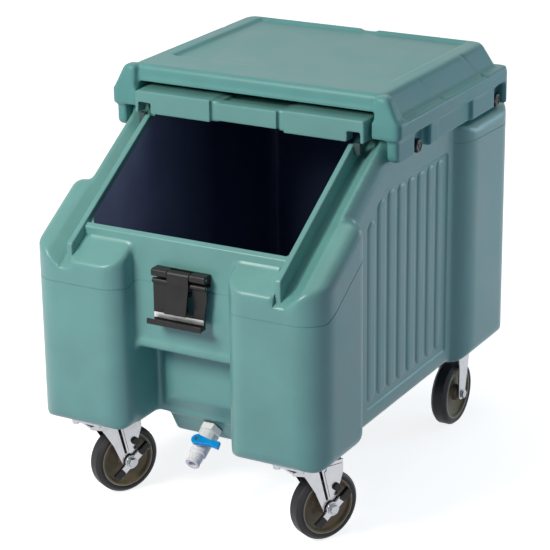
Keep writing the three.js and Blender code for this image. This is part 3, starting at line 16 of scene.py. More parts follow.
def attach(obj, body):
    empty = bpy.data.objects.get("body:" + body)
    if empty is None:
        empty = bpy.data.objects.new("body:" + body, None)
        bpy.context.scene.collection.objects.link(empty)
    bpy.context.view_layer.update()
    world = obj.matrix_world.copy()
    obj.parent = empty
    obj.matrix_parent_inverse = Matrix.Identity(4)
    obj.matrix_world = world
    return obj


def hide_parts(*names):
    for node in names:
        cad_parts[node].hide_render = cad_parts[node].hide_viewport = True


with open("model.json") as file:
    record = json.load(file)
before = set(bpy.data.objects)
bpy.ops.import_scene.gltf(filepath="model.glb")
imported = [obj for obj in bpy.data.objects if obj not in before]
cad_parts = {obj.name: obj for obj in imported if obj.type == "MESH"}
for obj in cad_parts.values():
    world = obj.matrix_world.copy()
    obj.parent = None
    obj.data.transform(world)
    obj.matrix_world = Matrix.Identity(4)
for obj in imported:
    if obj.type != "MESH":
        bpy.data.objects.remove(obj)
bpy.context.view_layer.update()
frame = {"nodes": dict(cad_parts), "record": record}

bl_info = {
    "name": "Mobile Ice Bin",
    "version": (1, 0, 0),
    "blender": (4, 5, 0),
    "location": "View3D > Sidebar > Ice Bin",
    "description": "Builds the surfaces and finishes of a mobile ice bin round its frame",
    "category": "Object",
}

MM = 0.001
OVERRUN = 4
SEAT_GAP = 0.3
QUARTER = math.pi / 2

# Body
HALF_LENGTH = 394
AHEAD = -HALF_LENGTH - OVERRUN
COLUMN_HALF = 287
COLUMN_INNER = 100
FRONT_COLUMN_DEPTH = 172
REAR_COLUMN_DEPTH = 166
REAR_BLEND = 62
REAR_COLUMN_TOP = 622
REAR_COLUMN_INNER = 130
COLUMN_EDGE = 22
COLUMN_ROUND = 23.5
RECESS_WALL_Y = -342
REAR_WALL_Y = 372
PANEL_HALF = 262
PANEL_EDGE = 6
RIM_TOP = 668
RIM_REAR_Y = 340
UNDERSIDE = 160.3
PANEL_LOW = 165.3
SLOPE = math.tan(math.radians(32.1))
BROW_Y = -122
BROW_Z = 660
MOUTH_HALF = 199
RAIL_OUTER = 210
RAIL_END_Y = -384
RAIL_ROOT = 46
OUTER_DECK_DROP = 14
INNER_DECK_DROP = 22
GUTTER_DROP = 38
GUTTER_FOLD_X = 222
GUTTER_CREST_X = 250
DECK_ROUND_X = 238
DECK_ROUND_FALL = 34
DECK_CORNER_X = 186
COAMING_BACK_Y = -330
COAMING_DROP = 6
LEDGE_HALF = 234
LEDGE_TOP = 655
LEDGE_REAR_Y = 206
STRIP_HALF = 104
STRIP_TOP_Z = 326
STRIP_LOW_Z = 312
SUMP_RECESS_Y = -278
SUMP_HALF = 86
SUMP_WALL = 13
SUMP_SIDE = [(-246, 120), (-150, 120), (-84, 165.3), (-84, 326), (-296, 326), (-296, 207)]
TANK_WALL = [(-330, 714), (-330, 484), (-300, 430), (-262, 268), (-262, 186), (314, 204), (314, 714)]
TANK_CORNER = 22
FILL_HOLE_Y = 244
PART_LINE_DEPTH = 0.8
PART_LINE_WIDTH = 1.7
PART_LINES = [[(-400, 425), (-360, 425), (-329, 442), (-281, 473), (-215, 511)], [(170, 590), (400, 583)]]

# Ribbed field of a side panel
FIELD = [(-173, 194), (150, 194), (150, 580), (-113, 580), (-173, 530)]
FIELD_DEPTH = 3.6
FIELD_BEND_Y = -113
FIELD_SLANT = 50 / 60
RIB_CURVE = 12
RIB_FIRST_Y = -170.5
RIB_LOW = 205
RIB_TOP = 575
RIB_CREST_X = 261.4
RIB_ROOT_X = 250
SLANTED_RIBS = 2

# Cover
COVER_HALF = 289
COVER_FRONT_Y = -111
COVER_REAR_Y = 352
FLANGE_TOP = 698.5
COVER_TOP = 743
SKIRT_LOW = 622

# Thumbscrews
KNOB_YS = (-12, 324)
KNOB_Z = 637
KNOB_LOBES = 6

# Lid
LID_FRONT_Y = -125
LID_REAR_Y = 193
LID_HALF = 230
LID_SLOT = 222
LID_PLATE_LOW = 681

# Latch
LATCH_BACK_Y = -342.3
PIN_Y = -357
UPPER_PIN_Z = 462
LOWER_PIN_Z = 447
LATCH_HALF = 53
LATCH_SCREW_X = 14
LATCH_SCREW_Z = 453
LEVER_HALF = 21.4

# Drain axis, out of the sump's slanted foot
DRAIN_Y = -260.5
DRAIN_Z = 145.1
DRAIN_TURN = QUARTER + math.atan2(50, 87)
BALL_PLACE = 48
HANDLE_LOW = 22.3
HANDLE_TOP = 29.3

# Casters
AXLE_Z = 63.5
TRAIL = 54
SWIVEL = math.radians(-27)
FRONT_X = 204.5
FRONT_SHIFT = 8
FRONT_Y = -337.5
REAR_X = 226
REAR_Y = 270
REAR_LEAD = -11
CROWN_TOP = 149.3
PLATE_LOW = 156
FORK_GAP = 20
FORK_HALF = 23
CAP_PLACE = (TRAIL + 10, AXLE_Z + 38)
SIDES = {"left": -1, "right": 1}

# The photograph's camera
AZIMUTH, ELEVATION, ROLL = math.radians(29.4), math.radians(19.94), math.radians(-0.71)
CAMERA_TARGET = (-0.1975, 0.3218, 0.2119)
CAMERA_DISTANCE = 4.3408
CAMERA_FOCUS = 2140.36 / 550

# Finishes. A moulded one has the record's slot, its light and dark colour, its roughness, the width of its
# clouds and pebbles in millimetres, the depth of its pebbles and waves in metres, its specular level, and
# where its colour fades to another along Y, as painted shade. Real pebbles are finer, and these are as coarse
# as they need to be to show.
MOULDED = {
    # Rotationally moulded polyethylene: satin, soft edged, with a slow wave from the mould
    "rotomoulded_polyethylene_teal": ("body_plastic", "body_light", "body_dark", 0.34, 90, 0.9, 6e-5, 6e-4, 0.45),
    # The cover has its own colour, a little darker than the body's
    "rotomoulded_polyethylene_cover": ("cover_plastic", "cover_light", "cover_dark", 0.38, 90, 0.9, 6e-5, 6e-4, 0.25),
    # The tank's inner skin is painted nearly black blue, a painted shade for the deep shade inside the tank
    "rotomoulded_polyethylene_tank": ("body_plastic", "tank_light", "tank_dark", 0.5),
    # The tank's side walls are painted paler as painted light, and fade to painted shade towards the back
    "scuffed_polyethylene_tank": ("body_plastic", "#b8c4e2", "#a6b2d0", 0.5, 90, 0.9, 6e-5, 6e-4, 0.32,
                                  (-0.24, 0.1, "#3b4a68")),
    # Injection moulded nylon: black with a grey sheen
    "moulded_nylon_black": ("latch_plastic", "#19191b", "#101012", 0.42, 30, 0.7, 4e-5, 1e-4),
    # Hot pressed phenolic: a warmer black with a fine, even skin
    "moulded_phenolic_black": ("knob_plastic", "#191716", "#100f0e", 0.42, 20, 0.7, 4e-5, 1e-4),
    # Acetal glides: coloured like the body, darker as painted shade for the shade under the lid's bar, and waxy
    "moulded_acetal_slate": ("glide_plastic", "#3f5656", "#374c4c", 0.35, 20, 0.6, 2e-5, 1e-4),
    # Polypropylene drain fitting: white, slightly blue, smooth
    "moulded_polypropylene_white": ("valve_plastic", "#fcfcfb", "#f4f5f5", 0.32, 25, 0.6, 2e-5, 1e-4),
    # The same plastic in clear blue, for the valve's handle
    "moulded_polypropylene_blue": ("handle_plastic", "#00a6f4", "#0098e6", 0.32, 20, 0.6, 2e-5, 1e-4),
    # Cast urethane foam, only seen where the body is opened
    "poured_urethane_foam": ("foam", "#e9dca9", "#d7c68c", 0.85, 12, 1.2, 4e-4, 4e-4),
    # Nitrile rubber cut from sheet: dull and grey
    "nitrile_rubber_seal": ("seal_rubber", "#5e6a6a", "#525d5d", 0.75, 12, 0.8, 5e-5, 1e-4),
    # Tyre: thermoplastic rubber, dull charcoal with a rubbed tread
    "thermoplastic_rubber_tyre": ("tyre", "#2b2b2d", "#1d1d1f", 0.5, 25, 1.0, 8e-5, 3e-4),
    # Wheel centre: filled polyolefin in dark olive
    "moulded_polyolefin_olive": ("rim_plastic", "#83775a", "#6b6046", 0.42, 30, 0.8, 5e-5, 2e-4),
    # The same plastic, painted pale along the lip that holds the tyre, as a painted highlight
    "rubbed_polyolefin_olive": ("rim_plastic", "#d2c8a8", "#bdb292", 0.5, 20, 0.8, 5e-5, 2e-4),
}
# A metal has its slot, its colour, its roughness, the width of its grain and how the grain is drawn out.
METALS = {
    # Bright chromium plating on pressed steel
    "chromium_plated_steel": ("fork_chrome", "#bfc0c3", 0.2, 18),
    # Zinc plated fasteners are duller
    "zinc_plated_steel": ("steel", "#b6b8bc", 0.3, 8),
    # Stainless strip, brushed along its length, which spreads its shine
    "brushed_stainless_steel": ("steel", "#eeeff0", 0.42, 3, (0.15, 1, 1)),
    # Sintered bronze bushes: dull and brown from their oil
    "sintered_bronze": ("bush_metal", "#a08a6a", 0.42, 4),
}
CHROME, ZINC, NYLON = "chromium_plated_steel", "zinc_plated_steel", "moulded_nylon_black"
TEAL, COVER_TEAL = "rotomoulded_polyethylene_teal", "rotomoulded_polyethylene_cover"
WHITE_PLASTIC = "moulded_polypropylene_white"


# Colours and finishes

def linear(code):
    """An sRGB hex colour as linear red, green, blue and alpha."""
    parts = [int(code[i:i + 2], 16) / 255 for i in (1, 3, 5)]
    return (*[p / 12.92 if p <= 0.04045 else ((p + 0.055) / 1.055) ** 2.4 for p in parts], 1)


def tint(value):
    """A finish's colour, from its hex code or from the property of that name."""
    return linear(value) if value[0] == "#" else (*getattr(bpy.context.scene.ice_bin_colours, value), 1)


def add(tree, kind, settings=None, links=None):
    """Adds a node, sets its values and inputs, and links its inputs to other nodes' outputs."""
    node = tree.nodes.new(kind)
    for key, value in (settings or {}).items():
        if isinstance(key, str) and hasattr(node, key):
            setattr(node, key, value)
        else:
            node.inputs[key].default_value = value
    for key, (source, output) in (links or {}).items():
        tree.links.new(source.outputs[output], node.inputs[key])
    return node


def blank(name):
    material = bpy.data.materials.new(name)
    material.use_nodes = True
    material.node_tree.nodes.clear()
    return material, material.node_tree


def moulded(name, light, dark, roughness, cloud_mm=90, pebble_mm=0.9, pebble_depth=6e-5, wave_depth=6e-4,
            specular=0.32, fade=None):
    """Moulded thermoplastic: a faint cloud in the colour, a slow wave of the wall and a fine pebble."""
    material, tree = blank(name)
    place = add(tree, "ShaderNodeTexCoord")
    patterns = []
    for width_mm, detail, coarseness in ((cloud_mm, 3.0, 0.55), (pebble_mm, 2.0, 0.5), (cloud_mm * 1.6, 1.0, 0.4)):
        settings = {"Scale": 1000 / width_mm, "Detail": detail, "Roughness": coarseness}
        patterns.append(add(tree, "ShaderNodeTexNoise", settings, {"Vector": (place, "Object")}))
    cloud, pebble, wave = patterns
    ramp = add(tree, "ShaderNodeValToRGB", links={"Fac": (cloud, "Fac")})
    for element, position, colour in zip(ramp.color_ramp.elements, (0.3, 0.7), (dark, light)):
        element.position = position
        element.color = colour
    slow = add(tree, "ShaderNodeBump", {"Strength": 0.5, "Distance": wave_depth}, {"Height": (wave, "Fac")})
    fine = add(tree, "ShaderNodeBump", {"Strength": 0.6, "Distance": pebble_depth},
               {"Height": (pebble, "Fac"), "Normal": (slow, "Normal")})
    gloss = add(tree, "ShaderNodeMapRange", {"From Min": 0.3, "From Max": 0.7, "To Min": roughness - 0.06,
                                             "To Max": roughness + 0.06}, {"Value": (cloud, "Fac")})
    colour = (ramp, "Color")
    # Painted shade: the colour darkens towards a deeper colour along Y
    if fade:
        front, back, deep = fade
        axes = add(tree, "ShaderNodeSeparateXYZ", links={"Vector": (place, "Object")})
        depth = add(tree, "ShaderNodeMapRange", {"From Min": front, "From Max": back}, {"Value": (axes, "Y")})
        colour = (add(tree, "ShaderNodeMixRGB", {"Color2": linear(deep)},
                      {"Fac": (depth, "Result"), "Color1": colour}), "Color")
    shader = add(tree, "ShaderNodeBsdfPrincipled", {"IOR": 1.5, "Specular IOR Level": specular},
                 {"Base Color": colour, "Normal": (fine, "Normal"), "Roughness": (gloss, "Result")})
    add(tree, "ShaderNodeOutputMaterial", links={"Surface": (shader, "BSDF")})
    return material


def plated(name, colour, roughness, grain_mm, streak=(1, 1, 1)):
    """Plated or bright metal: nearly even, with a faint drawn grain in its gloss."""
    material, tree = blank(name)
    place = add(tree, "ShaderNodeTexCoord")
    mapping = add(tree, "ShaderNodeMapping", {"Scale": streak}, {"Vector": (place, "Object")})
    grain = add(tree, "ShaderNodeTexNoise", {"Scale": 1000 / grain_mm, "Detail": 4.0, "Roughness": 0.6},
                {"Vector": (mapping, "Vector")})
    gloss = add(tree, "ShaderNodeMapRange", {"From Min": 0.3, "From Max": 0.7, "To Min": roughness - 0.07,
                                             "To Max": roughness + 0.07}, {"Value": (grain, "Fac")})
    fine = add(tree, "ShaderNodeBump", {"Strength": 0.4, "Distance": 3e-5}, {"Height": (grain, "Fac")})
    shades = {"blend_type": "MULTIPLY", "Color1": colour, "Color2": (0.82, 0.83, 0.85, 1)}
    dulled = add(tree, "ShaderNodeMixRGB", shades, {"Fac": (grain, "Fac")})
    shader = add(tree, "ShaderNodeBsdfPrincipled", {"Metallic": 1.0},
                 {"Base Color": (dulled, "Color"), "Roughness": (gloss, "Result"), "Normal": (fine, "Normal")})
    add(tree, "ShaderNodeOutputMaterial", links={"Surface": (shader, "BSDF")})
    return material


def finish(name):
    """The material of a finish, made once."""
    if name in bpy.data.materials:
        return bpy.data.materials[name]
    if name in METALS:
        _, colour, *rest = METALS[name]
        return plated(name, linear(colour), *rest)
    _, light, dark, *rest = MOULDED[name]
    return moulded(name, tint(light), tint(dark), *rest)


# Outlines

def outline(corners, steps=8):
    """The points of a closed outline whose corners (x, y, radius) are each rounded by their own radius."""
    points = []
    for i, corner in enumerate(corners):
        here = Vector(corner[:2])
        radius = corner[2] if len(corner) > 2 else 0
        if not radius:
            points.append(tuple(here))
            continue
        back = (Vector(corners[i - 1][:2]) - here).normalized()
        ahead = (Vector(corners[(i + 1) % len(corners)][:2]) - here).normalized()
        half = math.acos(max(-1, min(1, back.dot(ahead)))) / 2
        centre = here + (back + ahead).normalized() * (radius / math.sin(half))
        start = here + back * (radius / math.tan(half)) - centre
        sweep = (math.pi - 2 * half) * (1 if ahead.x * back.y - ahead.y * back.x > 0 else -1)
        for k in range(steps + 1):
            turn = sweep * k / steps
            points.append((centre.x + start.x * math.cos(turn) - start.y * math.sin(turn),
                           centre.y + start.x * math.sin(turn) + start.y * math.cos(turn)))
    return points


def shrink(points, distance):
    """A closed outline, counterclockwise, moved inwards by a distance."""
    if not distance:
        return points
    inner = []
    for i, (x, y) in enumerate(points):
        before, after = points[i - 1], points[(i + 1) % len(points)]
        first = Vector((before[1] - y, x - before[0])).normalized()
        second = Vector((y - after[1], after[0] - x)).normalized()
        reach = distance / (1 + first.dot(second))
        inner.append((x + (first.x + second.x) * reach, y + (first.y + second.y) * reach))
    return inner


def rectangle(left, right, front, back, radius=0):
    return [(left, front, radius), (right, front, radius), (right, back, radius), (left, back, radius)]


def around(count, reach, middle=(0, 0), corner=()):
    """Points round a middle, whose reach may change with the turn."""
    turns = [2 * math.pi * k / count for k in range(count)]
    return [(middle[0] + reach(t) * math.cos(t), middle[1] + reach(t) * math.sin(t), *corner) for t in turns]


def slope_z(y, drop=0):
    """The height of the line of the rail tops at y, less a drop."""
    return BROW_Z + (y - BROW_Y) * SLOPE - drop


def slope_y(z, drop=0):
    return BROW_Y + (z + drop - BROW_Z) / SLOPE


# Solids

def placed(name, data):
    """A new object in the scene."""
    thing = bpy.data.objects.new(name, data)
    bpy.context.scene.collection.objects.link(thing)
    return thing


def remove(thing):
    mesh = thing.data
    bpy.data.objects.remove(thing)
    bpy.data.meshes.remove(mesh)


def weld(mesh, distance, change=None):
    """Merges a mesh's doubles and makes one more change to it."""
    made = bmesh.new()
    made.from_mesh(mesh)
    bmesh.ops.remove_doubles(made, verts=made.verts, dist=distance)
    if change:
        change(made)
    made.to_mesh(mesh)
    made.free()


def turn_out(made):
    bmesh.ops.dissolve_degenerate(made, edges=made.edges, dist=1e-7)
    bmesh.ops.recalc_face_normals(made, faces=made.faces)


def mesh_object(name, points, faces):
    """A closed mesh in millimetres, with its doubles merged and its faces turned out."""
    mesh = bpy.data.meshes.new(name)
    mesh.from_pydata([(x * MM, y * MM, z * MM) for x, y, z in points], [], faces)
    weld(mesh, 1e-7, turn_out)
    return placed(name, mesh)


def loft(name, rings):
    """A solid through rings of points, closed by its first and last ring."""
    count = len(rings[0])
    points = [p for ring in rings for p in ring]
    faces = [tuple(range(count))[::-1], tuple(range(count * (len(rings) - 1), count * len(rings)))]
    for k in range(len(rings) - 1):
        for i in range(count):
            j = (i + 1) % count
            faces.append((k * count + i, k * count + j, (k + 1) * count + j, (k + 1) * count + i))
    return mesh_object(name, points, faces)


def levels(low, high, bevel, steps):
    """Places along a bar, each with how far its outline is drawn in there by the round edges of its ends."""
    turns = [k / steps * QUARTER for k in range(steps + 1)] if bevel else [QUARTER]
    edge = [(bevel - bevel * math.cos(turn), bevel - bevel * math.sin(turn)) for turn in turns]
    return [(low + rise, inset) for rise, inset in edge] + [(high - rise, inset) for rise, inset in reversed(edge)]


SET = {
    "x": lambda a, b, level: (level, a, b),
    "y": lambda a, b, level: (a, level, b),
    "z": lambda a, b, level: (a, b, level),
}


def prism(points, low, high, axis="z", bevel=0, steps=4):
    """An outline run along an axis."""
    return loft("prism", [[SET[axis](a, b, level) for a, b in shrink(points, inset)]
                          for level, inset in levels(low, high, bevel, steps)])


def block(left, right, front, back, low, high, bevel=0, steps=3):
    return prism(outline(rectangle(left, right, front, back, bevel), steps), low, high, "z", bevel, steps)


def turned(profile, segments=48, closed=True):
    """A solid turned about Z from (radius, z) points."""
    count = len(profile)
    points, faces = [], []
    for k in range(segments):
        turn = 2 * math.pi * k / segments
        points += [(r * math.cos(turn), r * math.sin(turn), z) for r, z in profile]
        ahead = (k + 1) % segments
        for i in range(count if closed else count - 1):
            j = (i + 1) % count
            faces.append((k * count + i, ahead * count + i, ahead * count + j, k * count + j))
    return mesh_object("turned", points, faces)


def rod(radius, low, high, segments=32, bevel=0, steps=3):
    """A round bar about Z."""
    side = [(radius - inset, level) for level, inset in levels(low, high, bevel, steps)]
    return turned([(0, low), *side, (0, high)], segments, closed=False)


def moved(thing, matrix):
    thing.data.transform(matrix)
    if matrix.is_negative:
        thing.data.flip_normals()
    return thing


def shifted(thing, x=0, y=0, z=0):
    return moved(thing, Matrix.Translation((x * MM, y * MM, z * MM)))


def spun(thing, axis, angle):
    return moved(thing, Matrix.Rotation(angle, 4, axis))


def cross_rod(radius, left, right, y, z, segments=32, bevel=0):
    """A round bar along X."""
    return shifted(spun(rod(radius, left, right, segments, bevel), "Y", QUARTER), 0, y, z)


def back_rod(radius, front, back, x, y, z, segments=16, bevel=0):
    """A round bar along Y, its ends measured from y."""
    return shifted(spun(rod(radius, front, back, segments, bevel), "X", -QUARTER), x, y, z)


def duplicate(thing):
    return placed(thing.name, thing.data.copy())


def mirrored(thing):
    """A second solid, on the other side of the middle plane."""
    return moved(duplicate(thing), Matrix.Scale(-1, 4, (1, 0, 0)))


def both(thing):
    """The solid and its mirror image, as a pair of tools."""
    return thing, mirrored(thing)


def evaluated(thing):
    """Turns the object's modifiers into its mesh."""
    bpy.context.view_layer.update()
    graph = bpy.context.evaluated_depsgraph_get()
    mesh = bpy.data.meshes.new_from_object(thing.evaluated_get(graph))
    thing.modifiers.clear()
    old = thing.data
    thing.data = mesh
    bpy.data.meshes.remove(old)
    return thing


def modified(thing, *steps):
    """Applies modifiers, each given as its kind and its settings."""
    for kind, settings in steps:
        step = thing.modifiers.new(kind, kind)
        for key, value in settings.items():
            setattr(step, key, value)
    return evaluated(thing)


def combine(base, tools, operation):
    modified(base, *[("BOOLEAN", {"object": tool, "operation": operation, "solver": "MANIFOLD"}) for tool in tools])
    for tool in tools:
        remove(tool)
    return base


def join(base, *tools):
    return combine(base, tools, "UNION")


def cut(base, *tools):
    return combine(base, tools, "DIFFERENCE")


def common(base, *tools):
    return combine(base, tools, "INTERSECT")


def soften(thing, sizes):
    """Rounds every edge, inner and outer, as a moulding's are, and keeps the flats as single faces."""
    return modified(thing, ("REMESH", {"mode": "VOXEL", "voxel_size": sizes.edge_grain}),
                    ("SMOOTH", {"factor": 0.5, "iterations": sizes.edge_rounds}),
                    ("DECIMATE", {"decimate_type": "DISSOLVE", "angle_limit": math.radians(0.5)}))


def swollen(thing, clearance):
    """The solid grown by a clearance all round."""
    return modified(thing, ("DISPLACE", {"mid_level": 0, "strength": clearance * MM}))


def node_copy(node):
    """A welded copy of a solid of the frame."""
    copy = placed(node + "_form", frame["nodes"][node].data.copy())
    copy.data.materials.clear()
    weld(copy.data, 2e-6)
    return copy


def shade(thing, sharp_degrees):
    """Smooth shading that breaks at sharp edges and keeps flats flat."""
    def smooth(made):
        for face in made.faces:
            face.smooth = True
        for edge in made.edges:
            edge.smooth = len(edge.link_faces) == 2 and edge.calc_face_angle(0) < math.radians(sharp_degrees)
    weld(thing.data, 1e-7, smooth)
    modified(thing, ("WEIGHTED_NORMAL", {"keep_sharp": True, "weight": 60}))


def body_of(node):
    for body, nodes in frame["record"]["behaviour"]["bodies"].items():
        if node in nodes:
            return body
    raise RuntimeError(f"no body holds {node}")


def dress(thing, name, finish_name, node=None, sharp_degrees=32):
    """Makes a solid a finished piece, which stands for a solid of the frame or rides on the bin."""
    thing.name = thing.data.name = name
    thing.data.materials.clear()
    thing.data.materials.append(finish(finish_name))
    shade(thing, sharp_degrees)
    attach(thing, body_of(node) if node else "bin")
    if node:
        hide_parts(node)
    return thing


def repaint(finish_name, *nodes):
    """Gives solids of the frame their finish."""
    for node in nodes:
        materials = frame["nodes"][node].data.materials
        materials.clear()
        materials.append(finish(finish_name))


# Properties

def length(name, description, default, **limits):
    return bpy.props.FloatProperty(name=name, description=description, default=default, unit="LENGTH", **limits)


def grain(what, default, low):
    description = f"Size of the cells that the {what}'s soft edges are made of"
    return length("Edge grain", description, default, min=low, max=0.01)


def rounds(what, default):
    return bpy.props.IntProperty(name="Edge rounds", description=f"How often the {what}'s edges are softened",
                                 default=default, min=1, max=40)


def colour(name, description, code):
    return bpy.props.FloatVectorProperty(name=name, description=description, subtype="COLOR", size=3,
                                         default=linear(code)[:3])


def power(name, description, default):
    return bpy.props.FloatProperty(name=name, description=description, default=default, unit="POWER")


class BodySizes(bpy.types.PropertyGroup):
    edge_grain: grain("body", 0.0038, 0.002)
    edge_rounds: rounds("body", 12)
    rib_count: bpy.props.IntProperty(
        name="Ribs", description="Pillow ribs on each side panel", default=8, min=3, max=12)
    rib_pitch: length("Rib pitch", "Distance from one rib to the next", 0.0393)
    rib_gap: length("Rib gap", "Gap between two ribs", 0.0034)


class CoverSizes(bpy.types.PropertyGroup):
    edge_grain: grain("cover", 0.0034, 0.0015)
    edge_rounds: rounds("cover", 2)


class LidSizes(bpy.types.PropertyGroup):
    edge_grain: grain("lid", 0.0024, 0.001)
    edge_rounds: rounds("lid", 6)


class Colours(bpy.types.PropertyGroup):
    body_light: colour("Body, light", "Lighter colour of the moulded body", "#70aaa4")
    body_dark: colour("Body, dark", "Darker colour of the moulded body", "#68a09b")
    cover_light: colour("Cover, light", "Lighter colour of the cover", "#66a5a1")
    cover_dark: colour("Cover, dark", "Darker colour of the cover", "#5f9b98")
    # The tank's two colours are a painted shade for the shade inside the tank
    tank_light: colour("Tank, light", "Lighter colour of the tank's inner skin", "#475679")
    tank_dark: colour("Tank, dark", "Darker colour of the tank's inner skin", "#3b4a68")


class StageSizes(bpy.types.PropertyGroup):
    key_power: power("Key light", "Power of the main lamp", 56)
    fill_power: power("Fill light", "Power of the fill lamp", 7.5)
    top_power: power("Top light", "Power of the lamp above", 13)
    sky: bpy.props.FloatProperty(name="Sky", description="Strength of the light from all round", default=0.14)


# Body

def column(plan, side, inner, top):
    """A column: its plan crossed with its side, all edges round."""
    post = prism(outline(plan, 14), UNDERSIDE - OVERRUN, top)
    return common(post, prism(outline(side, 8), inner, COLUMN_HALF, "x", COLUMN_EDGE, 7))


def front_column():
    """Right front column."""
    front, rear = -HALF_LENGTH, FRONT_COLUMN_DEPTH - HALF_LENGTH
    plan = [(COLUMN_INNER, front, 40), (COLUMN_HALF, front, 55), (COLUMN_HALF, rear, 12), (COLUMN_INNER, rear)]
    side = [(front, UNDERSIDE), (rear, UNDERSIDE), (rear, slope_z(rear, OUTER_DECK_DROP)),
            (front, slope_z(front, OUTER_DECK_DROP))]
    return column(plan, [(y, z, COLUMN_ROUND) for y, z in side], COLUMN_INNER, RIM_TOP)


def rear_column():
    """Right rear column, whose front face sweeps out from the side panel."""
    full = HALF_LENGTH - REAR_COLUMN_DEPTH
    sweep = COLUMN_HALF - PANEL_HALF + 2 * PANEL_EDGE
    turns = [(k / 14 - 1) * QUARTER for k in range(15)]
    plan = [(REAR_COLUMN_INNER, full - REAR_BLEND),
            *[(COLUMN_HALF - sweep * (1 - math.cos(t)), full + REAR_BLEND * math.sin(t)) for t in turns],
            (COLUMN_HALF, HALF_LENGTH, 55), (REAR_COLUMN_INNER, HALF_LENGTH, 22)]
    side = [(0, UNDERSIDE), (HALF_LENGTH, UNDERSIDE, COLUMN_ROUND), (HALF_LENGTH, REAR_COLUMN_TOP, COLUMN_ROUND),
            (0, REAR_COLUMN_TOP)]
    return column(plan, side, REAR_COLUMN_INNER, REAR_COLUMN_TOP + OVERRUN)


def slope_cutter(lower, front, back):
    """A cutter that stands on a line of (x, drop) points and reaches well above the rails."""
    section = lower + [(lower[-1][0], -RAIL_ROOT), (lower[0][0], -RAIL_ROOT)]
    return loft("slope", [[(x, y, slope_z(y, drop)) for x, drop in section] for y in (front, back)])


def deck_rounding():
    """The cutter that rounds the deck's right edge down to the side panel."""
    shares = [k / 8 for k in range(9)]
    curve = [(DECK_ROUND_X + share * (PANEL_HALF - DECK_ROUND_X), OUTER_DECK_DROP + DECK_ROUND_FALL * share ** 2.5)
             for share in shares]
    lower = curve + [(PANEL_HALF + OVERRUN, curve[-1][1] + 2 * OVERRUN)]
    return slope_cutter(lower, -HALF_LENGTH, slope_y(RIM_TOP, OUTER_DECK_DROP))


def core():
    side = [(RECESS_WALL_Y, PANEL_LOW), (REAR_WALL_Y, PANEL_LOW), (REAR_WALL_Y, REAR_COLUMN_TOP),
            (RIM_REAR_Y, REAR_COLUMN_TOP), (RIM_REAR_Y, RIM_TOP), (slope_y(RIM_TOP, OUTER_DECK_DROP), RIM_TOP),
            (RECESS_WALL_Y, slope_z(RECESS_WALL_Y, OUTER_DECK_DROP))]
    return cut(prism(side, -PANEL_HALF, PANEL_HALF, "x", PANEL_EDGE, 4), *both(deck_rounding()))


def gutters():
    """The gutters outside the rails, their ends past the rails, and the corners under the closed lid's bar."""
    long = slope_cutter([(RAIL_OUTER, GUTTER_DROP), (GUTTER_FOLD_X, GUTTER_DROP), (GUTTER_CREST_X, OUTER_DECK_DROP)],
                        AHEAD, slope_y(LEDGE_TOP, GUTTER_DROP))
    end = slope_cutter([(MOUTH_HALF, GUTTER_DROP), (GUTTER_FOLD_X, GUTTER_DROP)], AHEAD, RAIL_END_Y)
    corner_drop = INNER_DECK_DROP - 0.4
    corner = slope_cutter([(DECK_CORNER_X, corner_drop), (MOUTH_HALF + 1, corner_drop)], AHEAD, RECESS_WALL_Y)
    return [*both(long), *both(end), *both(corner)]


def sump():
    side = prism(SUMP_SIDE, -SUMP_HALF, SUMP_HALF, "x", PANEL_EDGE, 4)
    return common(side, prism(outline(rectangle(-SUMP_HALF, SUMP_HALF, -296, 0, 26), 10), 116, 330))


def sump_hollow():
    return prism(shrink(SUMP_SIDE, SUMP_WALL), SUMP_WALL - SUMP_HALF, SUMP_HALF - SUMP_WALL, "x", 3, 3)


def rail():
    """Right rail: a standing wall with a round top."""
    rear = slope_y(LEDGE_TOP, GUTTER_DROP)
    side = [(RAIL_END_Y, slope_z(RAIL_END_Y, RAIL_ROOT)), (rear, slope_z(rear, 2 * RAIL_ROOT)), (rear, LEDGE_TOP),
            (-111, LEDGE_TOP, 3), (BROW_Y, BROW_Z, 5), (RAIL_END_Y, slope_z(RAIL_END_Y), 8)]
    return prism(outline(side, 5), MOUTH_HALF, RAIL_OUTER, "x", 2.6, 4)


def coaming():
    """The wall along the mouth's lower edge."""
    low = slope_z(RECESS_WALL_Y, RAIL_ROOT)
    side = [(RECESS_WALL_Y, low), (COAMING_BACK_Y, low), (COAMING_BACK_Y, slope_z(COAMING_BACK_Y, COAMING_DROP), 3.5),
            (RECESS_WALL_Y, slope_z(RECESS_WALL_Y, COAMING_DROP), 4.5)]
    return prism(outline(side, 5), -MOUTH_HALF - OVERRUN, MOUTH_HALF + OVERRUN, "x")


def tank():
    (front, top), (back, _) = TANK_WALL[0], TANK_WALL[-1]
    plan = outline(rectangle(-MOUTH_HALF, MOUTH_HALF, front, back, TANK_CORNER), 10)
    side = outline([TANK_WALL[0], *[(y, z, 8) for y, z in TANK_WALL[1:-1]], TANK_WALL[-1]], 5)
    return common(prism(side, -MOUTH_HALF, MOUTH_HALF, "x"), prism(plan, UNDERSIDE, top))


def on_drain(thing):
    """Turns a piece built along the drain's axis to its place."""
    return shifted(spun(thing, "X", DRAIN_TURN), 0, DRAIN_Y, DRAIN_Z)


def bolt_rods(radius, low, high, x, y, segments):
    """Four rods where a caster's plate is bolted."""
    return [shifted(rod(radius, low, high, segments), x + dx, y + dy) for dx in (-23, 23) for dy in (-29, 29)]


def knob_holes(inner, outer):
    return [part for y in KNOB_YS for part in both(cross_rod(4.4, inner, outer, y, KNOB_Z, 16))]


def rib_field():
    points = outline([(y, z, 9) for y, z in FIELD], 6)
    steps = [(FIELD_DEPTH, 5), (FIELD_DEPTH * 0.8, 2.4), (FIELD_DEPTH * 0.4, 0.8), (0, -1), (-1, -2.6), (-OVERRUN, -3)]
    return loft("field", [[(PANEL_HALF - depth, y, z) for y, z in shrink(points, inset)] for depth, inset in steps])


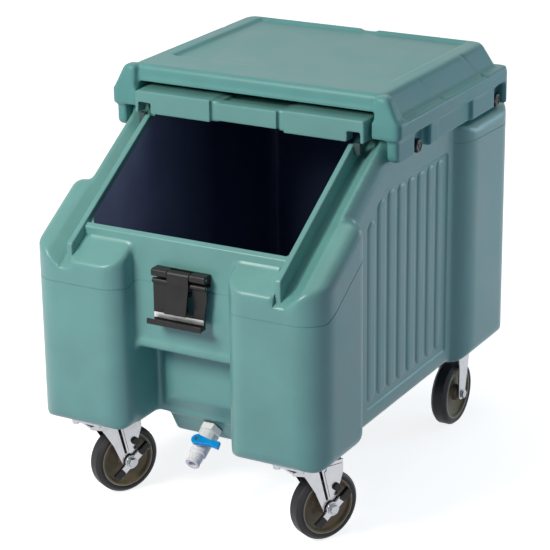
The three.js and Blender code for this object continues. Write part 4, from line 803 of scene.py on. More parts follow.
def rib_tree():
    """Geometry Nodes: a rib repeated along the panel, joined to one mesh."""
    tree = bpy.data.node_groups.new("panel_ribs", "GeometryNodeTree")
    tree.is_modifier = True
    sockets = {name: tree.interface.new_socket(name, in_out="INPUT", socket_type="NodeSocket" + kind).identifier
               for name, kind in (("Rib", "Object"), ("Count", "Int"), ("Pitch", "Float"), ("Material", "Material"))}
    tree.interface.new_socket("Geometry", in_out="OUTPUT", socket_type="NodeSocketGeometry")
    given = add(tree, "NodeGroupInput")
    step = add(tree, "ShaderNodeCombineXYZ", links={"Y": (given, "Pitch")})
    line = add(tree, "GeometryNodeMeshLine", {"mode": "OFFSET"},
               {"Count": (given, "Count"), "Offset": (step, "Vector")})
    rib = add(tree, "GeometryNodeObjectInfo", {"transform_space": "ORIGINAL"}, {"Object": (given, "Rib")})
    row = add(tree, "GeometryNodeInstanceOnPoints", links={"Points": (line, "Mesh"), "Instance": (rib, "Geometry")})
    real = add(tree, "GeometryNodeRealizeInstances", links={"Geometry": (row, "Instances")})
    done = add(tree, "GeometryNodeSetMaterial", links={"Geometry": (real, "Geometry"), "Material": (given, "Material")})
    add(tree, "NodeGroupOutput", links={"Geometry": (done, "Geometry")})
    return tree, sockets


def repeated(tree, sockets, values):
    """The mesh that a node tree makes, as a plain object."""
    host = placed("host", bpy.data.meshes.new("host"))
    nodes = host.modifiers.new("nodes", "NODES")
    nodes.node_group = tree
    for name, value in values.items():
        nodes[sockets[name]] = value
    return evaluated(host)


def rib(front, back, side):
    """One pillow of a side panel, round on both faces, with its top along the field's."""
    front_top, back_top = [RIB_TOP - max(0, FIELD_BEND_Y - y) * FIELD_SLANT for y in (front, back)]
    plan = outline([(front, RIB_LOW, 16), (back, RIB_LOW, 16), (back, back_top, 15), (front, front_top, 15)], 8)
    half = (RIB_CREST_X - RIB_ROOT_X) / 2
    rings = []
    for share in [k / 8 for k in range(-8, 9)]:
        inset = RIB_CURVE * (1 - math.sqrt(max(0, 1 - share * share)))
        rings.append([(half * share, y, z) for y, z in shrink(plan, inset)])
    return shifted(loft("rib", rings), side * (RIB_CREST_X + RIB_ROOT_X) / 2)


def gather(things):
    """Several solids as one object."""
    mesh = bpy.data.meshes.new("gathered")
    made = bmesh.new()
    for thing in things:
        made.from_mesh(thing.data)
        remove(thing)
    made.to_mesh(mesh)
    made.free()
    return placed("gathered", mesh)


class ICEBIN_OT_body(bpy.types.Operator):
    """Builds the moulded body with its tank, rails, sump and side ribs"""
    bl_idname = "ice_bin.body"
    bl_label = "Body"

    def execute(self, context):
        sizes = context.scene.ice_bin_body
        body = join(core(), *both(front_column()), *both(rear_column()))
        bay = block(-COLUMN_INNER, COLUMN_INNER, RECESS_WALL_Y - OVERRUN, SUMP_RECESS_Y, 0, STRIP_LOW_Z)
        deck = slope_cutter([(-MOUTH_HALF, INNER_DECK_DROP), (MOUTH_HALF, INNER_DECK_DROP)], AHEAD, RECESS_WALL_Y)
        cut(body, bay, deck, *gutters())
        strip = block(-STRIP_HALF, STRIP_HALF, RECESS_WALL_Y - 5, RECESS_WALL_Y + OVERRUN, STRIP_LOW_Z, STRIP_TOP_Z)
        soften(join(body, strip, sump()), sizes)
        self.part_line(body)
        ledge_front = slope_y(LEDGE_TOP, GUTTER_DROP)
        ledge = block(-LEDGE_HALF, LEDGE_HALF, ledge_front, LEDGE_REAR_Y, LEDGE_TOP, RIM_TOP + OVERRUN)
        cut(body, ledge, *gutters(), *both(rib_field()))
        join(body, *both(rail()), coaming())
        foam = swollen(cut(node_copy("foam_core"), *both(block(236, 290, 214, 266, 594, 622))), -3)
        cut(body, tank(), sump_hollow(), swollen(duplicate(foam), SEAT_GAP), *self.holes())
        dress(body, "moulded_body", TEAL, "bin_shell", 40)
        self.paint_tank_shade(body)
        dress(foam, "poured_foam_core", "poured_urethane_foam", "foam_core")
        self.build_ribs(sizes)
        repaint(TEAL, "foam_fill_plug")
        return {"FINISHED"}

    def holes(self):
        """Every hole for a fastener, a pin, the drain and the foam's plug."""
        plug = shifted(rod(15, 0, 185, 32), 0, FILL_HOLE_Y)
        throat = on_drain(rod(11.3, -26, OVERRUN, 32))
        screws = both(back_rod(2.3, -OVERRUN, 5.3, LATCH_SCREW_X, RECESS_WALL_Y, LATCH_SCREW_Z, 12))
        pins = both(cross_rod(3.4, 201.7, RAIL_OUTER + OVERRUN, -118, 650, 16))
        places = [(FRONT_SHIFT + sign * FRONT_X, FRONT_Y) for sign in SIDES.values()]
        places += [(sign * REAR_X, REAR_Y) for sign in SIDES.values()]
        bolts = [bolt for x, y in places for bolt in bolt_rods(4.4, UNDERSIDE - OVERRUN, UNDERSIDE + 12.4, x, y, 12)]
        return [plug, throat, *screws, *pins, *knob_holes(251.6, PANEL_HALF + OVERRUN), *bolts]

    def part_line(self, body):
        """The fine line where the mould's halves meet, pressed into the columns and walls."""
        inner = swollen(duplicate(body), -PART_LINE_DEPTH)
        tools = []
        for line in PART_LINES:
            band = prism(line + [(y, z + PART_LINE_WIDTH) for y, z in reversed(line)], -295, 295, "x")
            tools.append(cut(band, duplicate(inner)))
        remove(inner)
        cut(body, *tools)

    def paint_tank_shade(self, body):
        """The tank's inner faces get a painted shade, and its side walls a paler painted light."""
        body.data.materials.append(finish("rotomoulded_polyethylene_tank"))
        body.data.materials.append(finish("scuffed_polyethylene_tank"))
        for face in body.data.polygons:
            centre = face.center / MM
            inside = abs(centre.x) < MOUTH_HALF + 0.5 and self.wall_front(centre.z) - 1.5 < centre.y < 315
            below = centre.z < slope_z(centre.y, 9) and centre.z < LEDGE_TOP - 1
            if inside and below and centre.z > 130 and self.faces_in(face, centre):
                # Painted shade on the tank's inner faces, and a paler painted light on its side walls
                face.material_index = 2 if abs(centre.x) > MOUTH_HALF - 6 else 1

    def wall_front(self, z):
        """Where the tank's front wall stands at a height."""
        for (upper_y, upper_z), (lower_y, lower_z) in zip(TANK_WALL[1:3], TANK_WALL[2:4]):
            if lower_z <= z <= upper_z:
                return lower_y + (upper_y - lower_y) * (z - lower_z) / (upper_z - lower_z)
        return TANK_WALL[1][0] if z > TANK_WALL[1][1] else TANK_WALL[3][0]

    def faces_in(self, face, centre):
        """Whether a face looks into the tank, or low down into the sump."""
        low = centre.z < PANEL_LOW + 40
        in_sump = abs(centre.x) < SUMP_HALF - 12 and -245 < centre.y < -90
        if centre.z < 180 and not in_sump:
            return False
        middle = Vector((0, -200, 260)) if low else Vector((0, -20, 400))
        return face.normal.dot(middle - centre) > 0

    def build_ribs(self, sizes):
        """The straight ribs by Geometry Nodes, and those whose tops slant one by one."""
        pitch, width = sizes.rib_pitch / MM, (sizes.rib_pitch - sizes.rib_gap) / MM
        tree, sockets = rib_tree()
        things = []
        for side in (-1, 1):
            starts = [RIB_FIRST_Y + k * pitch for k in range(SLANTED_RIBS + 1)]
            source = rib(starts[-1], starts[-1] + width, side)
            things.append(repeated(tree, sockets, {"Rib": source, "Count": sizes.rib_count - SLANTED_RIBS,
                                                   "Pitch": sizes.rib_pitch, "Material": finish(TEAL)}))
            remove(source)
            things += [rib(start, start + width, side) for start in starts[:-1]]
        dress(gather(things), "side_panel_ribs", TEAL)


# Cover

def tapered(foot, top, low, high):
    """A block between a rounded rectangle at its foot and one at its top, with round upper edges."""
    pairs = list(zip(outline(foot, 8), outline(top, 8)))
    rings = []
    for share, inset in ((0, 0), (0.86, 0), (0.94, 0.9), (0.985, 3), (1, 6)):
        here = [(a[0] + (b[0] - a[0]) * share, a[1] + (b[1] - a[1]) * share) for a, b in pairs]
        rings.append([(x, y, low + (high - low) * share) for x, y in shrink(here, inset)])
    return loft("tapered", rings)


def bars_between(radius, start, end):
    """A round bar from one point to another, and its mirror image."""
    start, end = Vector(start), Vector(end)
    turn = (end - start).to_track_quat("Z", "Y").to_matrix().to_4x4()
    turn.translation = start * MM
    return both(moved(rod(radius, 0, (end - start).length, 24), turn))


def cover_solid():
    root, seat, hollow_top = FLANGE_TOP - OVERRUN, RIM_TOP + SEAT_GAP, RIM_TOP + 11
    roof = tapered(rectangle(-275, 275, -103, 341, 16), rectangle(-250, 250, -94, 331, 22), root, COVER_TOP)
    edge = outline(rectangle(-COVER_HALF, COVER_HALF, COVER_FRONT_Y, COVER_REAR_Y, 12), 6)
    flange = prism(edge, seat, FLANGE_TOP, "z", 2.8, 4)
    post = tapered(rectangle(239, 286.5, COVER_FRONT_Y, -76, 6), rectangle(239, 263, -107, -79, 8), root, 742)
    side = outline([(-105, 626, 17), (349, 626, 5), (349, hollow_top), (-105, hollow_top)], 7)
    skirt = prism(outline(rectangle(-283, 283, -105, 349, 9), 6), 620, 700)
    common(skirt, prism(side, -283, 283, "x", 5, 4))
    cut(skirt, block(-262.3, 262.3, -109, 340.3, SKIRT_LOW, hollow_top + OVERRUN))
    corner = prism(outline(rectangle(265, 288.7, 342, 351.7, 4), 5), 626, 691)
    body = join(roof, flange, *both(post), skirt, *both(corner))
    pocket = block(-238, 238, -94, 318, RIM_TOP - OVERRUN, 733)
    mouth = block(-236, 236, COVER_FRONT_Y - OVERRUN, -89, RIM_TOP - OVERRUN, 712)
    panel = tapered(rectangle(-218, 218, -10, 320, 8), rectangle(-224, 224, -16, 326, 10), 737, COVER_TOP + 2 * OVERRUN)
    notch = block(-4, 30, 318, COVER_REAR_Y, 739, COVER_TOP + OVERRUN)
    recesses = [tool for inner, front, back in ((266.3, -35, 28), (266.3, 304, 341), (277, 62, 206))
                for tool in both(block(inner, 287, front, back, SKIRT_LOW, seat))]
    folds = [tool for top_y, foot_y, radius in ((32, 85, 5), (219, 262, 7)) for tool in
             bars_between(radius, (246.5 + radius / 2, top_y, 750), (279.5 + radius / 2, foot_y, 696))]
    creases = [*bars_between(3.8, (235.5, -95, 748), (235.5, -105, 692)),
               *bars_between(3.8, (252, -73, 747), (280, -73, 692))]
    return cut(body, pocket, mouth, panel, notch, *recesses, *folds, *creases)


class ICEBIN_OT_cover(bpy.types.Operator):
    """Builds the top cover and its four thumbscrews"""
    bl_idname = "ice_bin.cover"
    bl_label = "Cover"

    def execute(self, context):
        cover = cut(soften(cover_solid(), context.scene.ice_bin_cover), *knob_holes(258, 287))
        dress(cover, "moulded_cover", COVER_TEAL, "top_cover", 40)
        for row, y in zip(("front", "rear"), KNOB_YS):
            for side in ("right", "left"):
                knob = self.thumbscrew(y)
                if side == "left":
                    moved(knob, Matrix.Scale(-1, 4, (1, 0, 0)))
                node = f"thumbscrew_{row}_{side}"
                dress(knob, node + "_knob", "moulded_phenolic_black", node, 35)
        return {"FINISHED"}

    def thumbscrew(self, y):
        """A knob with finger scallops round its rim, on a shank."""
        rim = around(72, lambda t: 13 - 2 * (0.5 - 0.5 * math.cos(KNOB_LOBES * t)) ** 0.8, (y, KNOB_Z))
        head = cut(prism(rim, 268.3, 281.3, "x", 2, 4), cross_rod(7.5, 280.3, 285, y, KNOB_Z, 32))
        boss = cross_rod(4, 279, 281.2, y, KNOB_Z, 24, 0.6)
        shank = cross_rod(4, 252, 270, y, KNOB_Z, 24, 0.4)
        return join(head, boss, shank)


# Lid

def lid_solid():
    front, bar_rear, pad_rear = LID_FRONT_Y, LID_FRONT_Y + 25, LID_FRONT_Y + 60
    bar_root = bar_rear - OVERRUN
    right = [(197, 662, 1.2), (197, LID_PLATE_LOW), (LID_SLOT, LID_PLATE_LOW), (LID_SLOT, 662, 1.2),
             (LID_HALF, 662, 1.2), (LID_HALF, 702, 5)]
    bar = prism(outline(right + [(-x, *rest) for x, *rest in reversed(right)], 5), front, bar_rear, "y", 0)
    pad = block(-LID_HALF, LID_HALF, bar_root, pad_rear, LID_PLATE_LOW, 702)
    plate = block(-LID_HALF, LID_HALF, bar_root, LID_REAR_Y, LID_PLATE_LOW, 691)
    outer = block(LID_SLOT, LID_HALF, bar_root, LID_REAR_Y, 662, 685)
    inner = block(187, 197, -35, LID_REAR_Y, 662, 685)
    foot = block(LID_SLOT, LID_HALF, 173, LID_REAR_Y, 655.3, 666)
    body = join(bar, pad, plate, *both(outer), *both(inner), *both(foot))
    grooves = both(block(60, 74, front - OVERRUN, front + 7.5, 658, 706))
    grip_top = block(-74, 74, front - OVERRUN, pad_rear + OVERRUN, 699, 706)
    grip_low = block(-60, 60, front - OVERRUN, bar_rear + OVERRUN, 658, 667)
    scoop = block(-60, 60, pad_rear - 34, pad_rear + OVERRUN, 694, 706)
    return cut(body, *grooves, grip_top, grip_low, scoop)


def lid_runners(lid):
    """The channels that run on the rails and glides are left crisp, with their wedges."""
    channel = block(197, LID_SLOT, LID_FRONT_Y - OVERRUN, LID_REAR_Y + OVERRUN, 640, LID_PLATE_LOW)
    wedge = prism([(-105, 663.4), (179, LID_PLATE_LOW), (179, 686), (-105, 686)], 213.6, 221.6, "x")
    return join(cut(lid, *both(channel)), *both(wedge))


class ICEBIN_OT_lid(bpy.types.Operator):
    """Builds the sliding lid"""
    bl_idname = "ice_bin.lid"
    bl_label = "Sliding lid"

    def execute(self, context):
        lid = lid_runners(soften(lid_solid(), context.scene.ice_bin_lid))
        dress(lid, "moulded_lid", TEAL, "sliding_lid", 40)
        # The glides' darker slate is a painted shade
        repaint("moulded_acetal_slate", "lid_glide_left", "lid_glide_right")
        return {"FINISHED"}


# Latch

class ICEBIN_OT_latch(bpy.types.Operator):
    """Builds the draw latch: bracket, lever, hook, strip and pins"""
    bl_idname = "ice_bin.latch"
    bl_label = "Draw latch"

    def execute(self, context):
        dress(self.bracket(), "latch_bracket_plate", NYLON, "latch_bracket")
        dress(self.lever(), "latch_lever_strap", NYLON, "latch_lever")
        dress(self.hook(), "latch_hook_plate", NYLON, "latch_hook")
        back = PIN_Y - 0.8
        strip = block(-51.8, 46.5, back - 1.2, back, 380.5, 390, 0.4, 2)
        dress(strip, "latch_hook_strip", "brushed_stainless_steel", "latch_strip")
        repaint(ZINC, "latch_pivot_pin", "latch_link_pin", "latch_screw_left", "latch_screw_right")
        return {"FINISHED"}

    def bracket(self):
        plate = block(-LATCH_HALF, LATCH_HALF, LATCH_BACK_Y - 3, LATCH_BACK_Y, 446, 469, 0.5, 2)
        section = outline([(-364.3, 455, 6), (-343.8, 455), (-343.8, 469), (-364.3, 469, 4)], 6)
        ears = both(prism(section, 22, LATCH_HALF, "x", 1, 3))
        hole = cross_rod(2.3, -57, 57, PIN_Y, UPPER_PIN_Z, 16)
        screws = both(back_rod(2.3, -OVERRUN, OVERRUN, LATCH_SCREW_X, LATCH_BACK_Y, LATCH_SCREW_Z))
        return cut(join(plate, *ears), hole, *screws)

    def lever(self):
        """The broad strap that turns over the upper pin, with a flared lower end."""
        half, front = LEVER_HALF, PIN_Y - 8
        head = cross_rod(8, -half, half, PIN_Y, UPPER_PIN_Z, 48, 0.8)
        eye = cross_rod(5, -half, half, PIN_Y, LOWER_PIN_Z, 32, 0.5)
        side = [(front - 11, 396, 1.2), (front - 7, 396, 1.2), (front + 4, 444, 30), (front + 4, UPPER_PIN_Z),
                (front, UPPER_PIN_Z), (front, 446, 30)]
        strap = prism(outline(side, 6), -half, half, "x", 0.9, 3)
        web = block(-half + 0.2, half - 0.2, front + 2, PIN_Y, LOWER_PIN_Z, UPPER_PIN_Z)
        holes = [cross_rod(2.4, -53, 53, PIN_Y, UPPER_PIN_Z, 16), cross_rod(2.3, -53, 53, PIN_Y, LOWER_PIN_Z, 16)]
        return cut(join(head, eye, strap, web), *holes)

    def hook(self):
        """The plate with its window, and the trough along its foot whose lip holds the lid's bar."""
        face, back, lip = PIN_Y - 0.5, PIN_Y + 2.5, PIN_Y - 16
        eyes = both(cross_rod(5, 22, LATCH_HALF, PIN_Y, LOWER_PIN_Z, 32, 0.8))
        plan = [(-LATCH_HALF, 372.5), (48, 372.5), (48.5, 404), (LATCH_HALF, 424), (LATCH_HALF, LOWER_PIN_Z),
                (24, LOWER_PIN_Z), (24, 428), (27, 424), (27, 395), (14, 395), (14, 424), (22, 428), (22, 436),
                (-22, 436), (-22, LOWER_PIN_Z), (-LATCH_HALF, LOWER_PIN_Z)]
        plate = prism(outline([(x, z, 1.5) for x, z in plan], 3), face, back, "y", 0.6, 2)
        side = [(lip - 1, 372.5, 1), (back, 372.5, 2.4), (back, 378, 0.4), (face + 0.2, 378, 0.4),
                (face + 0.2, 375.5, 1), (lip - 1, 375.5)]
        trough = prism(outline(side, 4), -LATCH_HALF, 48, "x", 0.4, 2)
        edge = block(-57, 51, lip - 3, lip, 372.5, 382.5, 1.1, 3)
        return cut(join(plate, *eyes, trough, edge), cross_rod(2.4, -60, 60, PIN_Y, LOWER_PIN_Z, 16))


# Drain valve

class ICEBIN_OT_drain(bpy.types.Operator):
    """Builds the drain fitting and its ball valve"""
    bl_idname = "ice_bin.drain"
    bl_label = "Drain valve"

    def execute(self, context):
        dress(on_drain(self.nut()), "drain_hex_nut", WHITE_PLASTIC, "drain_nut")
        dress(on_drain(self.valve()), "drain_valve_body", WHITE_PLASTIC, "valve_body")
        turn = Matrix.Translation((0, 0, BALL_PLACE * MM)) @ Matrix.Rotation(math.radians(-3), 4, "Y")
        dress(on_drain(moved(self.handle(), turn)), "drain_valve_lever", "moulded_polypropylene_blue", "valve_handle")
        repaint(WHITE_PLASTIC, "drain_bulkhead")
        repaint("nitrile_rubber_seal", "drain_gasket")
        repaint(ZINC, "valve_ball", "valve_handle_screw")
        return {"FINISHED"}

    def nut(self):
        corners = around(6, lambda t: 37 / math.sqrt(3), corner=(1.5,))
        return cut(prism(outline(corners, 3), 3.1, 16.1, "z", 1, 3), rod(11.3, 0, 20, 48))

    def valve(self):
        """The body with its grip ridges and hose barbs, hollow for the flow, the ball and the stem."""
        profile = [(11.3, 16.4), (16.2, 16.4), (17, 17.2), (17, 33.2), (16.2, 34), (15.5, 34.6), (15.5, 61), (14.6, 62),
                   (12.5, 62.8), (12.5, 68), (13.5, 69), (12.5, 70), (12.5, 72.5), (13.5, 73.5), (12.5, 74.5),
                   (12.5, 78.4), (13.5, 79.2), (13.5, 83), (12.6, 84), (7.8, 84), (7, 83.4), (7, 24.3), (11.3, 24.3)]
        barrel = turned(profile, 64)
        boss = back_rod(8, 9, 22, 0, 0, BALL_PLACE, 40, 0.7)
        ridges = [spun(block(16, 17.4, -1, 1, 18.5, 31.5, 0.3, 2), "Z", 2 * math.pi * k / 12) for k in range(12)]
        body = join(barrel, boss, *ridges)
        return cut(body, rod(7, 24.3, 88, 48), self.ball_seat(), back_rod(3.4, 0, 26, 0, 0, BALL_PLACE, 24))

    def ball_seat(self):
        mesh = bpy.data.meshes.new("seat")
        made = bmesh.new()
        bmesh.ops.create_uvsphere(made, u_segments=32, v_segments=16, radius=10.4 * MM,
                                  matrix=Matrix.Translation((0, 0, BALL_PLACE * MM)))
        made.to_mesh(mesh)
        made.free()
        return placed("seat", mesh)

    def handle(self):
        """The lever: a hub and a paddle that narrows at its waist."""
        hub = rod(10, HANDLE_LOW, HANDLE_TOP, 40, 1.2)
        plan = [(0, -9.4), (8, -8.4, 6), (27, -5.2, 30), (49, -7.6, 1.5), (46, 6.6, 1.5), (27, 5.2, 30), (8, 8.4, 6),
                (0, 9.4)]
        arm = prism(outline(plan, 6), HANDLE_LOW, HANDLE_TOP, "z", 1.2, 4)
        holes = [rod(3.3, 18, 24.8, 24), rod(1.9, HANDLE_LOW, 33, 20), rod(3.7, 27, 33, 24)]
        return spun(cut(join(hub, arm), *holes), "X", -QUARTER)


# Casters

def on_front(thing, x):
    """Turns a piece built over the floor under its plate to its place under the front."""
    return shifted(spun(thing, "Z", SWIVEL), x, FRONT_Y)


def on_wheel(thing, row, sign):
    """Turns a piece built about Z to its wheel's place."""
    spun(thing, "Y", QUARTER)
    if row == "front":
        return on_front(shifted(thing, 0, TRAIL, AXLE_Z), FRONT_SHIFT + sign * FRONT_X)
    return shifted(shifted(thing, 0, REAR_LEAD, AXLE_Z), sign * REAR_X, REAR_Y)


def symmetric(half, steps):
    """A profile turned about Z, from the half of it that lies below."""
    return turned(outline(half + [(r, -z, *rest) for r, z, *rest in reversed(half)], steps), 96)


def tyre_solid():
    """A tyre with round shoulders and a lip at the rim."""
    return symmetric([(52, -15.2, 0.6), (55, -16, 0.8), (57.8, -15.6, 1.5), (63.5, -9.5, 4)], 5)


def rim_solid():
    """A wheel centre: hub, dished web with a step, and a lip that holds the tyre."""
    return symmetric([(8.3, -17.5, 0.4), (13.6, -17.5, 1), (15, -14, 1.5), (16.5, -8.2, 2), (30, -6, 4), (44, -8.5, 3),
                      (46.5, -14.5, 1.2), (49.5, -14.5), (51.7, -14.5, 0.5)], 4)


def fork_legs(trail, front, rear, top, shares):
    """Both legs of a fork, from the axle's eye up to the crown or plate."""
    low = AXLE_Z - 12
    corners = [(trail - 12, low, 11.4), (trail + 12, low, 11.4)]
    corners += [(front + across * (rear - front), low + up * (top - low), radius) for across, up, radius in shares]
    return both(prism(outline(corners, 8), FORK_GAP, FORK_HALF, "x", 0.7, 3))


def axle_hole(trail):
    return cross_rod(4.8, -27, 27, trail, AXLE_Z, 24)


def axle_bolt(trail, left, right, nut):
    """A bolt with a hexagon head on the left and a nut on the right."""
    hexagon = outline(around(6, lambda t: 8.5, (trail, AXLE_Z), (0.8,)), 3)
    ends = [prism(hexagon, low, low + 6, "x", 0.8, 3) for low in (-29.3, nut)]
    return join(cross_rod(4.5, left, right, trail, AXLE_Z, 24), *ends)


class ICEBIN_OT_wheels(bpy.types.Operator):
    """Builds the tyres and wheel centres of all four casters"""
    bl_idname = "ice_bin.wheels"
    bl_label = "Wheels"

    def execute(self, context):
        for side, sign in SIDES.items():
            for row in ("front", "rear"):
                name = f"{row}_{side}_caster"
                tyre = on_wheel(tyre_solid(), row, sign)
                dress(tyre, name + "_tread", "thermoplastic_rubber_tyre", name + "_tyre", 50)
                rim = on_wheel(rim_solid(), row, sign)
                self.paint_lip_highlight(dress(rim, name + "_centre", "moulded_polyolefin_olive", name + "_rim", 50))
                repaint("sintered_bronze", name + "_bush")
        return {"FINISHED"}

    def paint_lip_highlight(self, rim):
        """The rim's outermost ring gets the painted highlight."""
        hub = sum((v.co for v in rim.data.vertices), Vector()) / len(rim.data.vertices)
        rim.data.materials.append(finish("rubbed_polyolefin_olive"))
        for face in rim.data.polygons:
            # Painted highlight on the lip
            face.material_index = int((face.center - hub).length / MM > 51.3)


class ICEBIN_OT_front_casters(bpy.types.Operator):
    """Builds the forks, plates and brakes of the two swivel casters"""
    bl_idname = "ice_bin.front_casters"
    bl_label = "Front casters"

    def execute(self, context):
        parts = ((self.fork, "_yoke", CHROME, "_fork"), (self.rocker, "_brake_rocker", CHROME, "_brake"),
                 (self.pads, "_brake_grips", NYLON, "_brake_pads"), (self.cap, "_pivot_cap", NYLON, "_cap"),
                 (self.axle, "_axle_bolt", ZINC, "_axle"))
        for side, sign in SIDES.items():
            name = f"front_{side}_caster"
            for make, piece, finish_name, node in parts:
                dress(on_front(make(), FRONT_SHIFT + sign * FRONT_X), name + piece, finish_name, name + node)
            repaint(ZINC, name + "_plate", name + "_bolts", name + "_king_ring")
        return {"FINISHED"}

    def fork(self):
        """A pressed yoke: a crown, two legs with a slot, and raised wings down the legs."""
        front, rear = -24, 80
        plan = outline(rectangle(-FORK_HALF, FORK_HALF, front, rear, 8), 6)
        crown = prism(plan, CROWN_TOP - 4, CROWN_TOP, "z", 0.8, 3)
        shares = [(0.885, 0.39, 6), (1, 0.757, 4), (1, 1, 0), (0, 1, 0), (0, 0.94, 2), (0.23, 0.86, 8),
                  (0.44, 0.49, 14)]
        slot = outline([(28, 142, 1.2), (34, 142, 1.2), (48.5, 80, 1.2), (43.5, 80, 1.2)], 3)
        fork = cut(join(crown, *fork_legs(TRAIL, front, rear, CROWN_TOP, shares)), rod(5.4, 140, 153, 32),
                   axle_hole(TRAIL), *both(prism(slot, 18, 27, "x")))
        wing = [(41, 133), (45, 137), (45, 142), (78, 142), (78, 131), (67, 108), (56, 84), (52, 84)]
        wings = both(prism(outline([(y, z, 1.5) for y, z in wing], 3), FORK_HALF - 1, FORK_HALF + 1.4, "x", 0.6, 2))
        cap_seats = both(cross_rod(7.4, FORK_HALF - 0.1, FORK_HALF + 3, *CAP_PLACE, 32))
        return cut(join(fork, *wings), axle_hole(TRAIL), *cap_seats)

    def rocker(self):
        """The brake's pressed strap, waisted round the axle."""
        plan = [(-38, -8.5, 3), (-22, -7.5, 8), (22, -7.5, 8), (42, -8.5, 3), (42, 3, 2), (24, 5.5, 6), (-24, 5.5, 6),
                (-38, 3, 2)]
        strap = prism(outline(plan, 5), 25.6, 29.6, "x", 0.8, 3)
        return self.on_brake(join(strap, cross_rod(13, 25.6, 29.6, 0, 0, 48, 0.8)))

    def pads(self):
        """The rubbery black grips at both ends, ribbed across, joined behind the rocker."""
        parts = [prism(outline(rectangle(-41.3, 45.3, -4, 6, 2), 4), 23.3, 25.3, "x", 0.4, 2)]
        for low, high, root in ((-41.3, -22, -41.3), (21, 45.3, 42.3)):
            parts.append(prism(outline(rectangle(low, high, -4.5, 8.5, 3), 4), 29.9, 34.6, "x", 1.6, 3))
            parts.append(block(23.3, 32.1, root, root + 3, -4, 6))
        grooves = [block(33.8, 36, centre - 1, centre + 1, -12, 12) for centre in (-36, -31, -26, 28, 33, 39)]
        return self.on_brake(cut(join(*parts), *grooves))

    def cap(self):
        return prism(around(60, lambda t: 6.6 + 0.4 * math.cos(15 * t), CAP_PLACE), 23.3, 29.3, "x", 0.9, 3)

    def axle(self):
        """The axle's bolt, with a washer behind its nut."""
        return join(axle_bolt(TRAIL, -25.3, 31.9, 29.9), cross_rod(10.5, 29.9, 31.1, TRAIL, AXLE_Z, 40, 0.3))

    def on_brake(self, thing):
        """Bores a part of the brake for the axle and turns it to its place."""
        cut(thing, cross_rod(4.9, 20, 34, 0, 0, 24))
        return shifted(spun(thing, "X", math.radians(38)), 0, TRAIL, AXLE_Z)


class ICEBIN_OT_rear_casters(bpy.types.Operator):
    """Builds the forks and axles of the two rigid casters"""
    bl_idname = "ice_bin.rear_casters"
    bl_label = "Rear casters"

    def execute(self, context):
        for side, sign in SIDES.items():
            name = f"rear_{side}_caster"
            fork = shifted(self.fork(), sign * REAR_X, REAR_Y)
            dress(fork, name + "_yoke", CHROME, name + "_fork")
            axle = shifted(axle_bolt(REAR_LEAD, -25.3, 25.3, 23.3), sign * REAR_X, REAR_Y)
            dress(axle, name + "_axle_bolt", ZINC, name + "_axle")
            repaint(ZINC, name + "_bolts")
        return {"FINISHED"}

    def fork(self):
        plate = prism(outline(rectangle(-31, 31, -36, 36, 8), 6), PLATE_LOW, 160, "z", 0.8, 3)
        shares = [(1, 0.86, 6), (1, 1, 0), (0, 1, 0), (0, 0.86, 6)]
        legs = fork_legs(REAR_LEAD, -22, 22, PLATE_LOW + 2, shares)
        return cut(join(plate, *legs), axle_hole(REAR_LEAD), *bolt_rods(4.3, 150, 164, 0, 0, 16))


# Stage

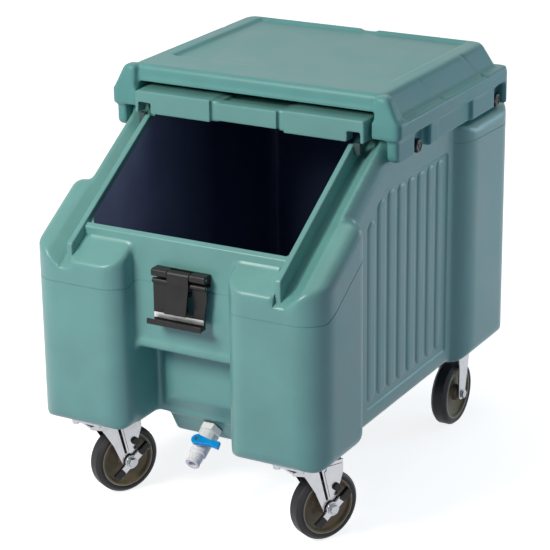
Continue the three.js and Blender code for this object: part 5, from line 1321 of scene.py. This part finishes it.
class ICEBIN_OT_stage(bpy.types.Operator):
    """Builds the floor, the lamps and the camera"""
    bl_idname = "ice_bin.stage"
    bl_label = "Stage"

    def execute(self, context):
        scene, stage = context.scene, context.scene.ice_bin_stage
        scene.view_settings.view_transform = "Standard"
        self.world(scene, stage)
        self.floor()
        middle = (0, -0.02, 0.36)
        self.lamp("key_softbox", (-0.8, -2.2, 2.0), middle, 1.0, stage.key_power, "#fffaf2")
        self.lamp("fill_softbox", (1.3, 1.5, 0.7), (0.25, 0.1, 0.4), 0.8, stage.fill_power, "#bceafc")
        self.lamp("top_softbox", (0.1, 0.4, 3.1), middle, 2.2, stage.top_power, "#ffffff")
        self.camera(scene)
        return {"FINISHED"}

    def split(self, tree, lighting, seen, output):
        """Shows one shader to the camera and in reflections, and lights the object with another."""
        path = add(tree, "ShaderNodeLightPath")
        looked_at = add(tree, "ShaderNodeMath", {"operation": "MAXIMUM"},
                        {0: (path, "Is Camera Ray"), 1: (path, "Is Glossy Ray")})
        mix = add(tree, "ShaderNodeMixShader", links={0: (looked_at, "Value"), 1: lighting, 2: seen})
        add(tree, output, links={"Surface": (mix, "Shader")})

    def world(self, scene, stage):
        scene.world = bpy.data.worlds.new("studio")
        scene.world.use_nodes = True
        tree = scene.world.node_tree
        tree.nodes.clear()
        soft = add(tree, "ShaderNodeBackground", {"Color": linear("#cccdf4"), "Strength": stage.sky})
        white = add(tree, "ShaderNodeBackground", {"Color": (1, 1, 1, 1), "Strength": 1.0})
        self.split(tree, (soft, "Background"), (white, "Background"), "ShaderNodeOutputWorld")

    def floor(self):
        """A floor that looks white and keeps the shadow, its glow weaker near the bin as a painted shade that makes it
        a little greyer there.
        """
        material, tree = blank("studio_floor")
        matt = add(tree, "ShaderNodeBsdfDiffuse", {"Color": (0.52, 0.54, 0.74, 1)})
        place = add(tree, "ShaderNodeNewGeometry")
        reach = add(tree, "ShaderNodeVectorMath", {"operation": "LENGTH"}, {0: (place, "Position")})
        # Painted shade: the floor's glow is weaker near the bin
        fade = add(tree, "ShaderNodeMapRange", {"From Min": 0.4, "From Max": 1.1, "To Min": 0.84, "To Max": 1.0},
                   {"Value": (reach, "Value")})
        glow = add(tree, "ShaderNodeEmission", {"Color": (1, 1, 1, 1)}, {"Strength": (fade, "Result")})
        plain = add(tree, "ShaderNodeBsdfDiffuse", {"Color": (0.6, 0.6, 0.6, 1)})
        shown = add(tree, "ShaderNodeAddShader", links={0: (plain, "BSDF"), 1: (glow, "Emission")})
        self.split(tree, (matt, "BSDF"), (shown, "Shader"), "ShaderNodeOutputMaterial")
        half = 40000
        corners = [(x, y, 0) for x, y, _ in rectangle(-half, half, -half, half)]
        floor = mesh_object("studio_floor", corners, [(0, 1, 2, 3)])
        floor.data.materials.append(material)

    def lamp(self, name, place, target, size, power, code):
        data = bpy.data.lights.new(name, "AREA")
        data.shape = "DISK"
        data.size = size
        data.energy = power
        data.color = linear(code)[:3]
        lamp = placed(name, data)
        lamp.location = place
        lamp.rotation_euler = (Vector(place) - Vector(target)).to_track_quat("Z", "Y").to_euler()

    def camera(self, scene):
        back = Vector((math.sin(AZIMUTH) * math.cos(ELEVATION), -math.cos(AZIMUTH) * math.cos(ELEVATION),
                       math.sin(ELEVATION)))
        level = (-back).cross(Vector((0, 0, 1))).normalized()
        upright = back.cross(level)
        right = level * math.cos(ROLL) + upright * math.sin(ROLL)
        up = upright * math.cos(ROLL) - level * math.sin(ROLL)
        data = bpy.data.cameras.new("photograph_camera")
        data.sensor_width = 36
        data.lens = CAMERA_FOCUS * data.sensor_width
        data.clip_end = 100
        matrix = Matrix((right, up, back)).transposed().to_4x4()
        matrix.translation = Vector(CAMERA_TARGET) + back * CAMERA_DISTANCE
        scene.camera = placed("photograph_camera", data)
        scene.camera.matrix_world = matrix


class ICEBIN_PT_panel(bpy.types.Panel):
    """Lists the sizes, colours and steps of the ice bin"""
    bl_idname = "ICEBIN_PT_panel"
    bl_label = "Ice Bin"
    bl_space_type = "VIEW_3D"
    bl_region_type = "UI"
    bl_category = "Ice Bin"

    def draw(self, context):
        for name in GROUPS:
            group = getattr(context.scene, name)
            rows = self.layout.column(align=True)
            for key in group.__annotations__:
                rows.prop(group, key)
        for operator in OPERATORS:
            self.layout.operator(operator.bl_idname)


GROUPS = {
    "ice_bin_body": BodySizes,
    "ice_bin_colours": Colours,
    "ice_bin_cover": CoverSizes,
    "ice_bin_lid": LidSizes,
    "ice_bin_stage": StageSizes,
}
OPERATORS = (ICEBIN_OT_stage, ICEBIN_OT_body, ICEBIN_OT_cover, ICEBIN_OT_lid, ICEBIN_OT_latch, ICEBIN_OT_drain,
             ICEBIN_OT_wheels, ICEBIN_OT_front_casters, ICEBIN_OT_rear_casters)


def register():
    for item in (*GROUPS.values(), *OPERATORS, ICEBIN_PT_panel):
        bpy.utils.register_class(item)
    for name, group in GROUPS.items():
        setattr(bpy.types.Scene, name, bpy.props.PointerProperty(type=group))


def unregister():
    for name in GROUPS:
        delattr(bpy.types.Scene, name)
    for item in reversed((*GROUPS.values(), *OPERATORS, ICEBIN_PT_panel)):
        bpy.utils.unregister_class(item)


def main():
    register()
    steps = bpy.ops.ice_bin
    for step in (steps.stage, steps.body, steps.cover, steps.lid, steps.latch, steps.drain, steps.wheels,
                 steps.front_casters, steps.rear_casters):
        step()


if __name__ == "__main__":
    main()
